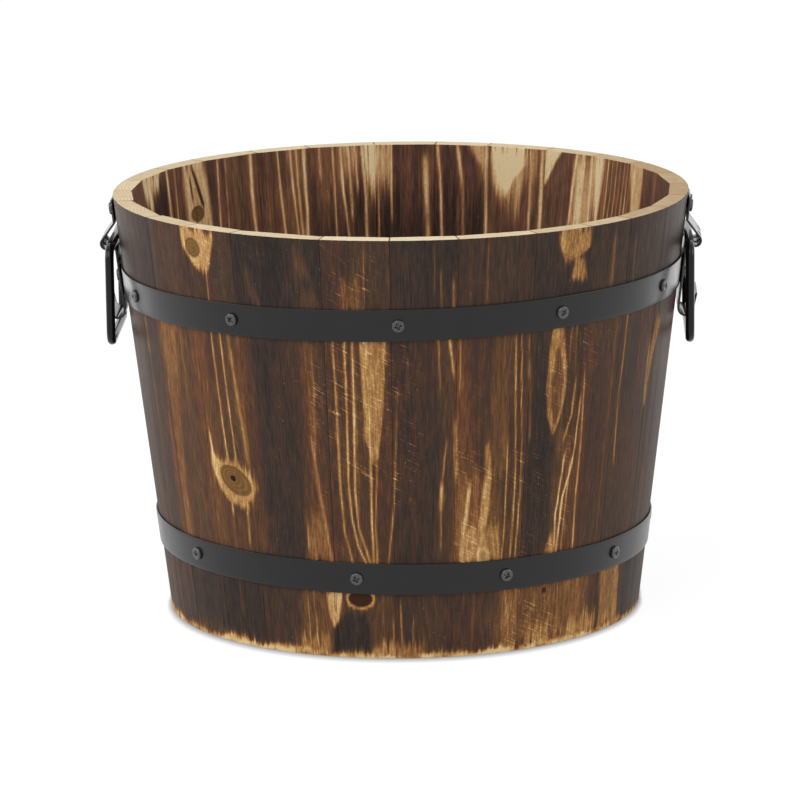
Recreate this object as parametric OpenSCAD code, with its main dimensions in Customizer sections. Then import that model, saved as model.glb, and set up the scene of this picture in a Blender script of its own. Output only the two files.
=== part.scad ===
// Wooden barrel planter: tapered staves in a ring, two steel hoops, a floor held in a groove,
// and a drop handle on each side.
// Millimetres. +Z up, origin at the middle of the base, handles on the X axis.

/* [Barrel] */
// Outside diameter at the rim
rim_d = 400; // [330:5:480]
// Outside diameter at the base
base_d = 330; // [290:5:390]
// Height from the ground to the rim
body_h = 293; // [250:1:360]
// Thickness of a stave at its middle, measured level
wall = 14; // [11:0.5:17]
// Angle each stave takes up, counter-clockwise from the first seam; they share out the full circle
stave_shares = [
    13.2, 14.1, 13.1, 13.1, 14.5, 12.0, 13.5, 15.0, 13.0, 15.5, 12.5, 14.7, 12.9,
    11.9, 19.5, 12.5, 12.1, 18.9, 13.5, 13.2, 15.8, 12.7, 11.3, 13.5, 14.7, 13.3
]; // 26 shares, each 10 to 22
// Distance of the first seam from the middle of the right handle, at the rim
first_seam_offset = 14; // [13.5:0.5:17]

/* [Floor] */
// Height of the floor's underside above the ground
floor_z = 24; // [15:1:32]
// Thickness of the floor boards
floor_t = 12; // [9:1:16]
// Gap between neighbouring floor boards
board_gap = 0.6; // [0.3:0.1:1.5]
// Depth of the groove that holds the floor, cut into the staves
groove_depth = 5; // [3:0.5:7]
// Play between the floor's edge and the groove
floor_play = 0.4; // [0.2:0.1:1]
// Diameter of each drain hole
drain_d = 12; // [8:1:16]
// Distance of the outer drain holes from the middle, along their boards
drain_offset = 62; // [40:1:80]

/* [Hoops] */
// Thickness of the hoop strip
hoop_t = 1.2; // [0.8:0.1:2]
// Width of the upper hoop
top_hoop_w = 22; // [20:1:26]
// Distance from the rim down to the upper hoop's middle line, at the front
top_hoop_drop = 58; // [56:1:65]
// Slope of the upper hoop, which sits lower at the left
top_hoop_tilt = 0.9; // [0:0.1:1.2]
// Width of the lower hoop
bottom_hoop_w = 22; // [14:1:26]
// Height of the lower hoop's middle line
bottom_hoop_z = 57; // [50:1:80]
// Slope of the lower hoop, which sits lower at the right
bottom_hoop_tilt = 0.7; // [0:0.1:1.2]
// Direction of the middle of each hoop's lap joint, at the back
lap_at = 91; // [88:0.5:93]
// Angle that the lap joint covers
lap_angle = 15; // [13:0.5:18]
// Directions of the upper hoop's screws, from the right handle
top_screw_dirs = [-158, -124, -89, -55, -22, 14, 50, 86.5, 95.5, 130, 166]; // each -180 to 180
// Directions of the lower hoop's screws, from the right handle
bottom_screw_dirs = [-143, -99, -65, -32, 6.5, 42, 86.5, 95.5, 133, 175]; // each -180 to 180

/* [Screws] */
// Diameter of a screw head
head_d = 8.8; // [7:0.1:10]
// Height of a screw head
head_h = 2.4; // [1.8:0.1:3]
// Height of the straight rim round a screw head
head_rim_h = 0.8; // [0.4:0.1:1.4]
// Diameter of the flat top of a screw head
head_top_d = 6.3; // [6:0.1:6.9]
// Diameter of a screw's shank
shank_d = 3.5; // [3:0.1:4.2]
// Length of a screw under its head
screw_length = 13; // [10:0.5:13.5]
// Length of a screw's point
point_length = 3.5; // [2:0.5:5]
// Diameter of the blunt end of a screw's point
point_d = 0.4; // [0.2:0.1:0.8]
// Width of a slot in the cross recess
recess_w = 1.1; // [0.7:0.1:1.4]
// Length of a slot in the cross recess
recess_length = 4.8; // [3.5:0.1:6]
// Depth of the cross recess
recess_depth = 1.5; // [0.8:0.1:1.6]
// Play between a shank and its pilot hole in the wood, on the radius
pilot_play = 0.05; // [0.02:0.01:0.1]
// Play between a shank and its hole in the steel, on the radius
hole_play = 0.3; // [0.1:0.1:0.5]

/* [Brackets] */
// Width of the bracket strap
strap_w = 42; // [34:1:50]
// Thickness of the bracket strap
strap_t = 1.5; // [1:0.1:1.8]
// Distance from the rim down to the strap's upper end, along the wall
strap_top = 4; // [2:0.5:6]
// Distance from the rim down to where the strap leaves the wall
slope_top = 20; // [18:0.5:22]
// Distance from the rim down to the middle of the knuckle's round end
knuckle_drop = 33.6; // [32:0.2:35]
// Distance from the wall to the middle of the knuckle's round end
knuckle_out = 8; // [7.4:0.1:9]
// Radius of the knuckle's round end, to the middle of the strap
knuckle_r = 3.85; // [3.7:0.05:4.2]
// Distance from the rim down to the bottom of the lip's bend
lip_bottom = 86.5; // [82:0.5:90]
// Radius of the lip's bend, to the middle of the strap
lip_r = 5; // [3.5:0.5:6]
// Length of the lip's straight end
lip_end = 12; // [6:1:16]
// Angle by which the lip's end leans outward from the wall's slope
lip_lean = 6; // [0:1:20]
// Radius of the bend where the strap turns down along the wall, to the middle of the strap
bend_r = 2.2; // [1.6:0.1:2.6]
// Corner radius of the strap's upper end
strap_corner_r = 5; // [2:0.5:8]
// Width of the slots in the knuckle
slot_w = 5; // [3:0.5:7]
// Distance of each knuckle slot from the strap's middle
slot_offset = 9; // [8:0.5:10]
// Distance from the middle of the knuckle's round end up to the top of its slots
slot_rise = 5.2; // [4:0.2:7]
// Distance of the bracket's screws from its middle
bracket_screw_offset = 10; // [9:0.5:10.5]
// Distance from the rim down to the bracket's upper screws
upper_screw_drop = 11; // [9.5:0.5:13]
// Distance from the rim down to the bracket's lower screws
lower_screw_drop = 58; // [56:0.5:60]

/* [Rings] */
// Diameter of the ring's bar
bar_d = 6.2; // [5:0.1:6.4]
// Gap between the ring's upper bar and the wall
bar_gap = 0.4; // [0.3:0.1:0.8]
// Distance from the rim down to the ring's pivot, along the wall
pivot_drop = 33; // [32.6:0.1:33.1]
// Width of the ring, between the middles of its side bars
ring_w = 98; // [80:1:110]
// Height of the ring, between the middles of its upper and lower bars
ring_h = 65.2; // [61:0.2:72]
// Corner radius of the ring, to the middle of the bar
ring_corner_r = 9; // [6:0.5:14]

/* [Hidden] */

// Facets of the round barrel, and of everything smaller
barrel_smooth = 180;
smooth = 64;
// Length by which a cutting shape runs past what it cuts
margin = 1;
// Steps round the knuckle, the bend and the lip of a bracket
knuckle_steps = 14;
bend_steps = 5;
lip_steps = 12;
// Turn of a hoop screw's recess for each degree of its direction, and turn of a bracket screw's
recess_turn = 17;
bracket_recess_turn = 31;
// Angle past a stave's seams at which a hoop's or a bracket's screws may still cut into it
screw_spare = 2;
bracket_spare = 6;
// Floor boards, as many as NODES names
floor_boards = 5;

rim_r = rim_d / 2;
base_r = base_d / 2;
slope = (rim_r - base_r) / body_h;
taper = atan(slope);
stave_count = len(stave_shares);
first_seam = asin(first_seam_offset / rim_r);
top_hoop_z = body_h - top_hoop_drop;

// Sum of the first n entries of a list
function sum_of(list, n) = n == 0 ? 0 : list[n - 1] + sum_of(list, n - 1);
// Direction of the seam before stave n, counted from 1
function seam(n) = first_seam + 360 * sum_of(stave_shares, n - 1) / sum_of(stave_shares, stave_count);
// Outside radius of the staves at height z
function outer_r(z) = base_r + slope * z;
// Smallest turn from one direction to another
function turn(from, to) = abs(((to - from) % 360 + 540) % 360 - 180);

groove_r = outer_r(floor_z) - wall + groove_depth;
floor_r = groove_r - floor_play;
board_pitch = 2 * floor_r / floor_boards;

// Height of the upper hoop's middle line, looking along one direction
function top_hoop_height(dir) = top_hoop_z + outer_r(top_hoop_z) * cos(dir) * tan(top_hoop_tilt);
// Height of the lower hoop's middle line, looking along one direction
function bottom_hoop_height(dir) =
    bottom_hoop_z - outer_r(bottom_hoop_z) * cos(dir) * tan(bottom_hoop_tilt);
function in_lap(dir) = turn(lap_at, dir) < lap_angle / 2;
// Thickness of hoop strip under a screw's head
function layers(dir) = in_lap(dir) ? 2 * hoop_t : hoop_t;

// Distances of the bracket's upper and lower parts out from the wall, to the middle of the strap;
// the lower part lies on the hoop
plate_out = strap_t / 2;
lower_out = hoop_t * cos(taper) + strap_t / 2;
// Ring pivot, out from the wall and then in the part's own frame
pivot_out = bar_d / 2 + bar_gap;
pivot_x = rim_r + pivot_out * cos(taper) - pivot_drop * sin(taper);
pivot_z = body_h - pivot_out * sin(taper) - pivot_drop * cos(taper);

// Charred browns, taken in turn round the barrel
stave_colors = [[0.32, 0.24, 0.18], [0.37, 0.29, 0.23], [0.42, 0.34, 0.28]];
steel_color = [0.16, 0.16, 0.17];
screw_color = [0.24, 0.24, 0.25];
board_color = [0.62, 0.48, 0.32];
ring_color = [0.06, 0.06, 0.06];

// ---------- Placing helpers ----------

// Frame on the barrel's outer surface: its Z points straight out of the wood
module on_wall(dir, z) {
    rotate([0, 0, dir]) translate([outer_r(z), 0, z]) rotate([0, 90 + taper, 0]) children();
}

// Frame of a handle: X out from the wall, Z up along the wall, starting at the rim's edge
module handle_frame(side) {
    rotate([0, 0, side == "right" ? 0 : 180])
        translate([rim_r, 0, body_h]) rotate([0, taper, 0]) children();
}

// Slice of a disc between two directions
module sector(from, to, radius, height) {
    middle = (from + to) / 2;
    reach = radius / cos((to - from) / 2) + margin;
    linear_extrude(height = height)
        polygon([
            [0, 0],
            [reach * cos(from), reach * sin(from)],
            [reach * cos(middle), reach * sin(middle)],
            [reach * cos(to), reach * sin(to)]
        ]);
}

// Solid cone of the barrel's outer surface, grown outward by the given amount
module barrel_cone(grow) {
    cylinder(h = body_h, r1 = base_r + grow, r2 = rim_r + grow, $fn = barrel_smooth);
}

// ---------- Screws ----------

// Screw with its seat at z = 0 and its head on the +Z side
module screw() {
    difference() {
        union() {
            cylinder(h = head_rim_h, r = head_d / 2, $fn = smooth);
            translate([0, 0, head_rim_h])
                cylinder(h = head_h - head_rim_h, r1 = head_d / 2, r2 = head_top_d / 2, $fn = smooth);
            translate([0, 0, point_length - screw_length])
                cylinder(h = screw_length - point_length, r = shank_d / 2, $fn = smooth);
            translate([0, 0, -screw_length])
                cylinder(h = point_length, r1 = point_d / 2, r2 = shank_d / 2, $fn = smooth);
        }
        for (angle = [0, 90])
            rotate([0, 0, angle])
                translate([-recess_length / 2, -recess_w / 2, head_h - recess_depth])
                    cube([recess_length, recess_w, recess_depth + margin]);
    }
}

// Hole for a shank, through the seat and as deep as the screw is long
module shank_hole(play) {
    translate([0, 0, -screw_length - play])
        cylinder(h = screw_length + play + head_h, r = shank_d / 2 + play, $fn = smooth);
}

// Each of these places its child at a screw's seat
module at_top_hoop_screw(dir) {
    on_wall(dir, top_hoop_height(dir)) translate([0, 0, layers(dir) * cos(taper)]) children();
}

module at_bottom_hoop_screw(dir) {
    on_wall(dir, bottom_hoop_height(dir)) translate([0, 0, layers(dir) * cos(taper)]) children();
}

module at_bracket_screws(side) {
    for (offset = [-bracket_screw_offset, bracket_screw_offset]) {
        handle_frame(side)
            translate([plate_out + strap_t / 2, offset, -upper_screw_drop])
                rotate([0, 90, 0]) children();
        handle_frame(side)
            translate([lower_out + strap_t / 2, offset, -lower_screw_drop])
                rotate([0, 90, 0]) children();
    }
}

// ---------- Staves ----------

// Whether a screw at one direction could reach into the stave between two seams
function reaches(dir, from, to, spare) = turn((from + to) / 2, dir) < (to - from) / 2 + spare;

// Plank with a flat back that leans with the wall, set at one direction
module flat_backed_plank(dir, width) {
    rotate([0, 0, dir])
        rotate([90, 0, 0])
            linear_extrude(height = width, center = true)
                polygon([
                    [base_r - wall, 0],
                    [base_r + 2 * wall, 0],
                    [rim_r + 2 * wall, body_h],
                    [rim_r - wall, body_h]
                ]);
}

module stave(number) {
    from = seam(number);
    to = seam(number + 1);
    middle = (from + to) / 2;
    width = 2 * (rim_r + wall) * tan((to - from) / 2);
    color(stave_colors[number % len(stave_colors)])
    difference() {
        intersection() {
            barrel_cone(0);
            sector(from, to, rim_r, body_h);
            flat_backed_plank(middle, width);
        }
        translate([0, 0, floor_z])
            cylinder(h = floor_t + floor_play, r = groove_r, $fn = barrel_smooth);
        for (dir = top_screw_dirs)
            if (reaches(dir, from, to, screw_spare)) at_top_hoop_screw(dir) shank_hole(pilot_play);
        for (dir = bottom_screw_dirs)
            if (reaches(dir, from, to, screw_spare)) at_bottom_hoop_screw(dir) shank_hole(pilot_play);
        if (reaches(0, from, to, bracket_spare)) at_bracket_screws("right") shank_hole(pilot_play);
        if (reaches(180, from, to, bracket_spare)) at_bracket_screws("left") shank_hole(pilot_play);
    }
}

// ---------- Floor ----------

// Drain holes go along the middle line of their board: one in the middle board, two beside it
function board_x(number) = (number - (floor_boards + 1) / 2) * board_pitch;

module floor_board(number) {
    step = abs(number - (floor_boards + 1) / 2);
    color(board_color)
    difference() {
        intersection() {
            translate([0, 0, floor_z]) cylinder(h = floor_t, r = floor_r, $fn = barrel_smooth);
            translate([board_x(number) - (board_pitch - board_gap) / 2, -floor_r - margin, floor_z])
                cube([board_pitch - board_gap, 2 * (floor_r + margin), floor_t]);
        }
        if (step == 0) drain_hole(0, 0);
        if (step == 1)
            for (y = [-drain_offset, drain_offset]) drain_hole(board_x(number), y);
    }
}

module drain_hole(x, y) {
    translate([x, y, floor_z - margin])
        cylinder(h = floor_t + 2 * margin, r = drain_d / 2, $fn = smooth);
}

// ---------- Hoops ----------

// Strip bent round the barrel: one full turn, and a second layer where its end laps over its start
module hoop(middle_z, width, tilt) {
    intersection() {
        difference() {
            union() {
                barrel_cone(hoop_t);
                intersection() {
                    barrel_cone(2 * hoop_t);
                    sector(lap_at - lap_angle / 2, lap_at + lap_angle / 2, rim_r + 2 * hoop_t, body_h);
                }
            }
            barrel_cone(0);
        }
        translate([0, 0, middle_z]) rotate([0, -tilt, 0])
            cube([3 * rim_r, 3 * rim_r, width], center = true);
    }
}

module top_hoop() {
    color(steel_color)
    difference() {
        hoop(top_hoop_z, top_hoop_w, top_hoop_tilt);
        for (dir = top_screw_dirs) at_top_hoop_screw(dir) shank_hole(hole_play);
        for (side = ["right", "left"]) at_bracket_screws(side) shank_hole(hole_play);
    }
}

module bottom_hoop() {
    color(steel_color)
    difference() {
        hoop(bottom_hoop_z, bottom_hoop_w, -bottom_hoop_tilt);
        for (dir = bottom_screw_dirs) at_bottom_hoop_screw(dir) shank_hole(hole_play);
    }
}

module top_hoop_screws() {
    color(screw_color)
    for (dir = top_screw_dirs) at_top_hoop_screw(dir) rotate([0, 0, recess_turn * dir]) screw();
}

module bottom_hoop_screws() {
    color(screw_color)
    for (dir = bottom_screw_dirs) at_bottom_hoop_screw(dir) rotate([0, 0, recess_turn * dir]) screw();
}

// ---------- Brackets ----------

// Points of an arc, as distances out from the wall and down from the rim
function arc(out, drop, radius, from, to, steps) = [
    for (i = [0 : steps])
        let (angle = from + (to - from) * i / steps)
            [out + radius * cos(angle), drop + radius * sin(angle)]
];

function unit(v) = v / norm(v);
// Sideways step at point i of a path that keeps a strip's thickness even round the bend
function side_of(path, i) =
    let (
        before = i == 0 ? path[1] - path[0] : path[i] - path[i - 1],
        after = i == len(path) - 1 ? before : path[i + 1] - path[i],
        mean = unit(unit(before) + unit(after))
    )
    [-mean[1], mean[0]] / max(0.5, mean * unit(after));

// Strip of even thickness along a path
function ribbon(path, thickness) = concat(
    [for (i = [0 : len(path) - 1]) path[i] + side_of(path, i) * thickness / 2],
    [for (i = [len(path) - 1 : -1 : 0]) path[i] - side_of(path, i) * thickness / 2]
);

// The slope meets the knuckle's round end where it is a tangent to it
slope_run = norm([knuckle_out - plate_out, knuckle_drop - slope_top]);
slope_aim = atan2(knuckle_drop - slope_top, knuckle_out - plate_out);
slope_turn = asin(knuckle_r / slope_run);
round_start = slope_aim - slope_turn - 90;
lip_out = lower_out + lip_r;

// The strap's middle line: [distance out from the wall, distance down from the rim]
strap_path = concat(
    [[plate_out, strap_top], [plate_out, slope_top]],
    arc(knuckle_out, knuckle_drop, knuckle_r, round_start, 90, knuckle_steps),
    arc(lower_out + bend_r, knuckle_drop + knuckle_r + bend_r, bend_r, 270, 180, bend_steps),
    arc(lip_out, lip_bottom - lip_r, lip_r, 180, lip_lean, lip_steps),
    [[
        lip_out + lip_r * cos(lip_lean) + lip_end * sin(lip_lean),
        lip_bottom - lip_r + lip_r * sin(lip_lean) - lip_end * cos(lip_lean)
    ]]
);

module bracket(side) {
    path = [for (p = strap_path) [p[0], -p[1]]];
    slot_top = slot_rise - knuckle_drop;
    slot_bottom = -(knuckle_drop + knuckle_r + strap_t);
    color(steel_color)
    difference() {
        handle_frame(side) {
            difference() {
                rotate([90, 0, 0])
                    linear_extrude(height = strap_w, center = true)
                        polygon(ribbon(path, strap_t));
                // Rounded upper corners
                for (y_side = [-1, 1])
                    translate([0, y_side * (strap_w / 2 - strap_corner_r), -strap_top - strap_corner_r])
                        difference() {
                            translate([-margin, y_side > 0 ? 0 : -strap_corner_r - margin, 0])
                                cube([
                                    strap_t + 2 * margin,
                                    strap_corner_r + margin,
                                    strap_corner_r + margin
                                ]);
                            translate([-2 * margin, 0, 0]) rotate([0, 90, 0])
                                cylinder(h = strap_t + 4 * margin, r = strap_corner_r, $fn = smooth);
                        }
                // Slots that leave three bands round the knuckle
                for (y = [-slot_offset, slot_offset])
                    translate([knuckle_out - 2 * strap_t, y - slot_w / 2, slot_bottom])
                        cube([
                            knuckle_r + 4 * strap_t,
                            slot_w,
                            slot_top - slot_bottom
                        ]);
            }
        }
        at_bracket_screws(side) shank_hole(hole_play);
    }
}

module right_bracket() { bracket("right"); }
module left_bracket() { bracket("left"); }

module right_bracket_screws() {
    color(screw_color)
    at_bracket_screws("right") rotate([0, 0, bracket_recess_turn]) screw();
}

module left_bracket_screws() {
    color(screw_color)
    at_bracket_screws("left") rotate([0, 0, bracket_recess_turn]) screw();
}

// ---------- Rings ----------

// Closed ring of round bar, hanging straight down from its pivot
module ring(side) {
    bar_r = bar_d / 2;
    flat_w = ring_w - 2 * ring_corner_r;
    flat_h = ring_h - 2 * ring_corner_r;
    color(ring_color)
    translate([side == "right" ? pivot_x : -pivot_x, 0, pivot_z]) {
        for (z = [0, -ring_h])
            translate([0, 0, z]) rotate([90, 0, 0])
                cylinder(h = flat_w, r = bar_r, center = true, $fn = smooth);
        for (y = [-ring_w / 2, ring_w / 2])
            translate([0, y, -ring_h / 2])
                cylinder(h = flat_h, r = bar_r, center = true, $fn = smooth);
        for (corner = [[1, -1, 0], [-1, -1, 90], [-1, 1, 180], [1, 1, 270]])
            translate([
                0,
                corner[0] * flat_w / 2,
                -ring_h / 2 - corner[1] * flat_h / 2
            ])
                rotate([90, 0, 90]) rotate([0, 0, corner[2]])
                    rotate_extrude(angle = 90, $fn = smooth)
                        translate([ring_corner_r, 0]) circle(r = bar_r, $fn = smooth);
    }
}

module right_ring() { ring("right"); }
module left_ring() { ring("left"); }

// ---------- Nodes ----------

stave(1);  // stave_01
stave(2);  // stave_02
stave(3);  // stave_03
stave(4);  // stave_04
stave(5);  // stave_05
stave(6);  // stave_06
stave(7);  // stave_07
stave(8);  // stave_08
stave(9);  // stave_09
stave(10);  // stave_10
stave(11);  // stave_11
stave(12);  // stave_12
stave(13);  // stave_13
stave(14);  // stave_14
stave(15);  // stave_15
stave(16);  // stave_16
stave(17);  // stave_17
stave(18);  // stave_18
stave(19);  // stave_19
stave(20);  // stave_20
stave(21);  // stave_21
stave(22);  // stave_22
stave(23);  // stave_23
stave(24);  // stave_24
stave(25);  // stave_25
stave(26);  // stave_26
floor_board(1);  // floor_board_1
floor_board(2);  // floor_board_2
floor_board(3);  // floor_board_3
floor_board(4);  // floor_board_4
floor_board(5);  // floor_board_5
top_hoop();
bottom_hoop();
top_hoop_screws();
bottom_hoop_screws();
right_bracket();
left_bracket();
right_bracket_screws();
left_bracket_screws();
right_ring();
left_ring();
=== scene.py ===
"""Wooden barrel planter: scorched staves, steel hoops and drop handles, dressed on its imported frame.

Lengths are in metres. Only the marks on the wood, and the fields and limits that go with them, have
heights and widths in millimetres. +Z is up and the base stands on z = 0. Directions go
counter-clockwise from the right handle, in degrees for the marks and in radians elsewhere.
"""

import logging
import math
from dataclasses import dataclass, field
from enum import Enum, IntEnum

import bmesh
import bpy
import numpy as np
from mathutils import Matrix, Vector


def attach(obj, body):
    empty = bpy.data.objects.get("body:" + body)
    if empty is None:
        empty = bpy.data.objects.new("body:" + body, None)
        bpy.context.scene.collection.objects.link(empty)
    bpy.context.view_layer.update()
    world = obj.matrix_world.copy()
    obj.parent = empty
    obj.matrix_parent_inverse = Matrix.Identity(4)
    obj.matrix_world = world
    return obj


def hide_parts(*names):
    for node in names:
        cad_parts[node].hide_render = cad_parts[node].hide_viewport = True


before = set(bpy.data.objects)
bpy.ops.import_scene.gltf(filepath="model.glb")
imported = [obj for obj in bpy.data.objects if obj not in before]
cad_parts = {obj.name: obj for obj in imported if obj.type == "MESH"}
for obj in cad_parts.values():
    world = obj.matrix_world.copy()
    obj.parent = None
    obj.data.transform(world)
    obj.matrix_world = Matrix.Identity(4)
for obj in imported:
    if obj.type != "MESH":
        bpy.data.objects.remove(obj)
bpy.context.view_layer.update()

MM = 0.001
TAU = 2 * math.pi
LOG = logging.getLogger("planter")
STAVE_NAMES = tuple(f"stave_{n:02d}" for n in range(1, 27))
BOARD_NAMES = tuple(f"floor_board_{n}" for n in range(1, 6))

Socket = bpy.types.NodeSocket
Material = bpy.types.Material
Feed = Socket | float | tuple
Colour = tuple[float, ...]
Tones = tuple[tuple[float, Colour], ...]
Course = tuple[tuple[float, float], ...]
Lattice = tuple[np.ndarray, np.ndarray, np.ndarray]


class Seed(IntEnum):
    """First seed of each random field; a stave adds its own number to those that differ by stave."""

    HOLLOWS = 0
    RIPPLES = 40
    CHIPS = 70
    CHIP_PLACES = 170
    PITH = 300
    STREAKS = 1000
    STREAKS_INSIDE = 1500
    SPIKES = 33
    PULSE = 55
    HOOP_WAVES = 77
    WEAR_BROAD = 901
    WEAR_NARROW = 902
    WEAR_FEATHER = 903
    WEAR_TONE = 904


# ---------- Numbers and noise ----------


def linear(red: float, green: float, blue: float) -> Colour:
    """Turn a colour as a screen shows it, 0 to 255, into the linear colour that shaders use.

    Args:
        red, green, blue: The colour's parts, 0 to 255.

    Returns:
        The linear colour with full opacity.
    """
    parts = [((c / 255 + 0.055) / 1.055) ** 2.4 if c > 10 else c / 255 / 12.92 for c in (red, green, blue)]
    return (*parts, 1.0)


def tones(*colours: tuple[int, int, int]) -> Tones:
    """Eight tones of scorched wood, from char to bare wood, each with its place on the ramp."""
    places = (0.0, 0.16, 0.32, 0.48, 0.62, 0.76, 0.88, 1.0)
    return tuple((place, linear(*colour)) for place, colour in zip(places, colours))


def smoothstep(low: float, high: float, value: np.ndarray) -> np.ndarray:
    """Rise from 0 at low to 1 at high along 3t^2 - 2t^3.

    Args:
        low, high: Values at which the rise starts and ends.
        value: Values to place on the rise.

    Returns:
        The height of the rise at each value.
    """
    t = np.clip((value - low) / (high - low), 0, 1)
    return t * t * (3 - 2 * t)


def plateau(fade: tuple[float, float], past_start: np.ndarray, before_end: np.ndarray) -> np.ndarray:
    """1 between a start and an end, 0 beyond them: the product of a rise at each, over the same range."""
    return smoothstep(*fade, past_start) * smoothstep(*fade, before_end)


def noise(x: np.ndarray, y: np.ndarray, seed: int) -> np.ndarray:
    """Smooth random field from 0 to 1: random numbers at whole steps, blended by 3t^2 - 2t^3.

    Args:
        x, y: Coordinates, one bump to a unit.
        seed: Number that picks the field.

    Returns:
        The field's value at each point.
    """
    side = 128
    table = np.random.default_rng(seed).random((side, side))
    x, y = np.broadcast_arrays(x, y)
    left, low = np.floor(x).astype(int), np.floor(y).astype(int)
    tx, ty = smoothstep(0, 1, x - left), smoothstep(0, 1, y - low)
    near = table[left % side, low % side] * (1 - tx) + table[(left + 1) % side, low % side] * tx
    far = table[left % side, (low + 1) % side] * (1 - tx) + table[(left + 1) % side, (low + 1) % side] * tx
    return near * (1 - ty) + far * ty


def turned(direction: np.ndarray, origin: float) -> np.ndarray:
    """Signed turn in degrees from one direction to others, from -180 to 180."""
    return (direction - origin + 180) % 360 - 180


def mean_direction(radians: np.ndarray) -> float:
    """Middle of several directions, in radians."""
    return math.atan2(np.sin(radians).mean(), np.cos(radians).mean())


def arc(middle: tuple[float, float], radius: float, start: float, stop: float, steps: int) -> np.ndarray:
    """Points of an arc: its middle plus the radius times (cos, sin) of each angle.

    Args:
        middle, radius: The arc's middle and its radius.
        start, stop: Its first and last angle in degrees.
        steps: Number of steps between them.

    Returns:
        One row of two coordinates for each point.
    """
    angle = np.radians(np.linspace(start, stop, steps + 1))
    return np.stack([middle[0] + radius * np.cos(angle), middle[1] + radius * np.sin(angle)], axis=1)


def edge_spread(length: float, edge: float, inner: int) -> np.ndarray:
    """Steps along an edge, close together at both ends, where a rounded arris needs them.

    Args:
        length: Length of the edge.
        edge: Length at each end that has close steps.
        inner: Number of even steps between.

    Returns:
        Rising positions from 0 to length.
    """
    close = edge * np.array([0, 0.3, 0.65])
    even = np.linspace(edge, length - edge, inner + 1)
    return np.concatenate([close, even, length - close[::-1]])


# ---------- Frame ----------


def node_points(name: str) -> np.ndarray:
    """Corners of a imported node's mesh.

    Args:
        name: Node's name.

    Returns:
        One row of x, y, z for each corner.
    """
    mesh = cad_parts[name].data
    flat = np.empty(len(mesh.vertices) * 3)
    mesh.vertices.foreach_get("co", flat)
    return flat.reshape(-1, 3)


@dataclass(frozen=True)
class BarrelShape:
    """The cone that the staves' outer faces lie on, as packed."""

    rim_radius: float
    base_radius: float
    height: float
    wall: float = 14 * MM

    @classmethod
    def from_frame(cls) -> "BarrelShape":
        """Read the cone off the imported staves.

        Returns:
            The barrel's shape.
        """
        points = np.vstack([node_points(name) for name in STAVE_NAMES])
        radius = np.hypot(points[:, 0], points[:, 1])
        at_base = points[:, 2] < MM
        return cls(radius.max(), radius[at_base].max(), points[:, 2].max())

    @property
    def taper(self) -> float:
        """Lean of the wall, in radians."""
        return math.atan((self.rim_radius - self.base_radius) / self.height)

    def outer(self, z: np.ndarray) -> np.ndarray:
        """Outside radius at height z."""
        return self.base_radius + (self.rim_radius - self.base_radius) * z / self.height

    @staticmethod
    def span(node: str) -> tuple[float, float]:
        """Directions between which a packed stave lies.

        Args:
            node: Name of the stave's node.

        Returns:
            Its first and last direction in radians.
        """
        points = node_points(node)
        direction = np.arctan2(points[:, 1], points[:, 0])
        middle = mean_direction(direction)
        away = (direction - middle + math.pi) % TAU - math.pi
        return middle + away.min(), middle + away.max()

    def wall_frame(self, direction: float, z: float, out: float = 0.0) -> Matrix:
        """Frame on the outer wall: X along the hoop, Y up the wall, Z straight out of the wood.

        Args:
            direction: Direction in radians.
            z: Height of the point on the wall.
            out: Distance of the frame's origin out from the wall.

        Returns:
            The matrix from that frame to the part's own.
        """
        radial = Vector((math.cos(direction), math.sin(direction), 0))
        normal = radial * math.cos(self.taper) - Vector((0, 0, math.sin(self.taper)))
        along = Vector((-math.sin(direction), math.cos(direction), 0))
        up = normal.cross(along)
        turn = Matrix((along, up, normal)).transposed().to_4x4()
        place = radial * self.outer(z) + Vector((0, 0, z)) + normal * out
        return Matrix.Translation(place) @ turn


# ---------- Meshes ----------


def new_object(name: str, data: bpy.types.ID) -> bpy.types.Object:
    """Put an object that holds a mesh, a lamp or a camera into the scene."""
    made = bpy.data.objects.new(name, data)
    bpy.context.scene.collection.objects.link(made)
    return made


def quad_object(name: str, points: np.ndarray, quads: np.ndarray, materials: list[Material],
                material_of: np.ndarray | None = None,
                attributes: dict[str, np.ndarray] | None = None) -> bpy.types.Object:
    """Make an object from arrays of points and four-cornered faces.

    Args:
        name: Object's name.
        points: One row of x, y, z for each point.
        quads: One row of four point numbers for each face, counter-clockwise from outside.
        materials: Materials of the object, in slot order.
        material_of: Material slot of each face, or None for the first.
        attributes: Named values or vectors for each point, which the materials read.

    Returns:
        The linked object, smooth-shaded.
    """
    mesh = bpy.data.meshes.new(name)
    mesh.vertices.add(len(points))
    mesh.vertices.foreach_set("co", points.astype(np.float32).ravel())
    mesh.loops.add(quads.size)
    mesh.loops.foreach_set("vertex_index", quads.astype(np.int32).ravel())
    mesh.polygons.add(len(quads))
    mesh.polygons.foreach_set("loop_start", np.arange(0, quads.size, 4, dtype=np.int32))
    mesh.polygons.foreach_set("use_smooth", np.ones(len(quads), bool))
    for material in materials:
        mesh.materials.append(material)
    if material_of is not None:
        mesh.polygons.foreach_set("material_index", material_of.astype(np.int32))
    for label, values in (attributes or {}).items():
        kind, key = ("FLOAT_VECTOR", "vector") if values.ndim == 2 else ("FLOAT", "value")
        mesh.attributes.new(label, kind, "POINT").data.foreach_set(key, values.astype(np.float32).ravel())
    mesh.update(calc_edges=True)
    mesh.validate()
    return new_object(name, mesh)


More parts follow.
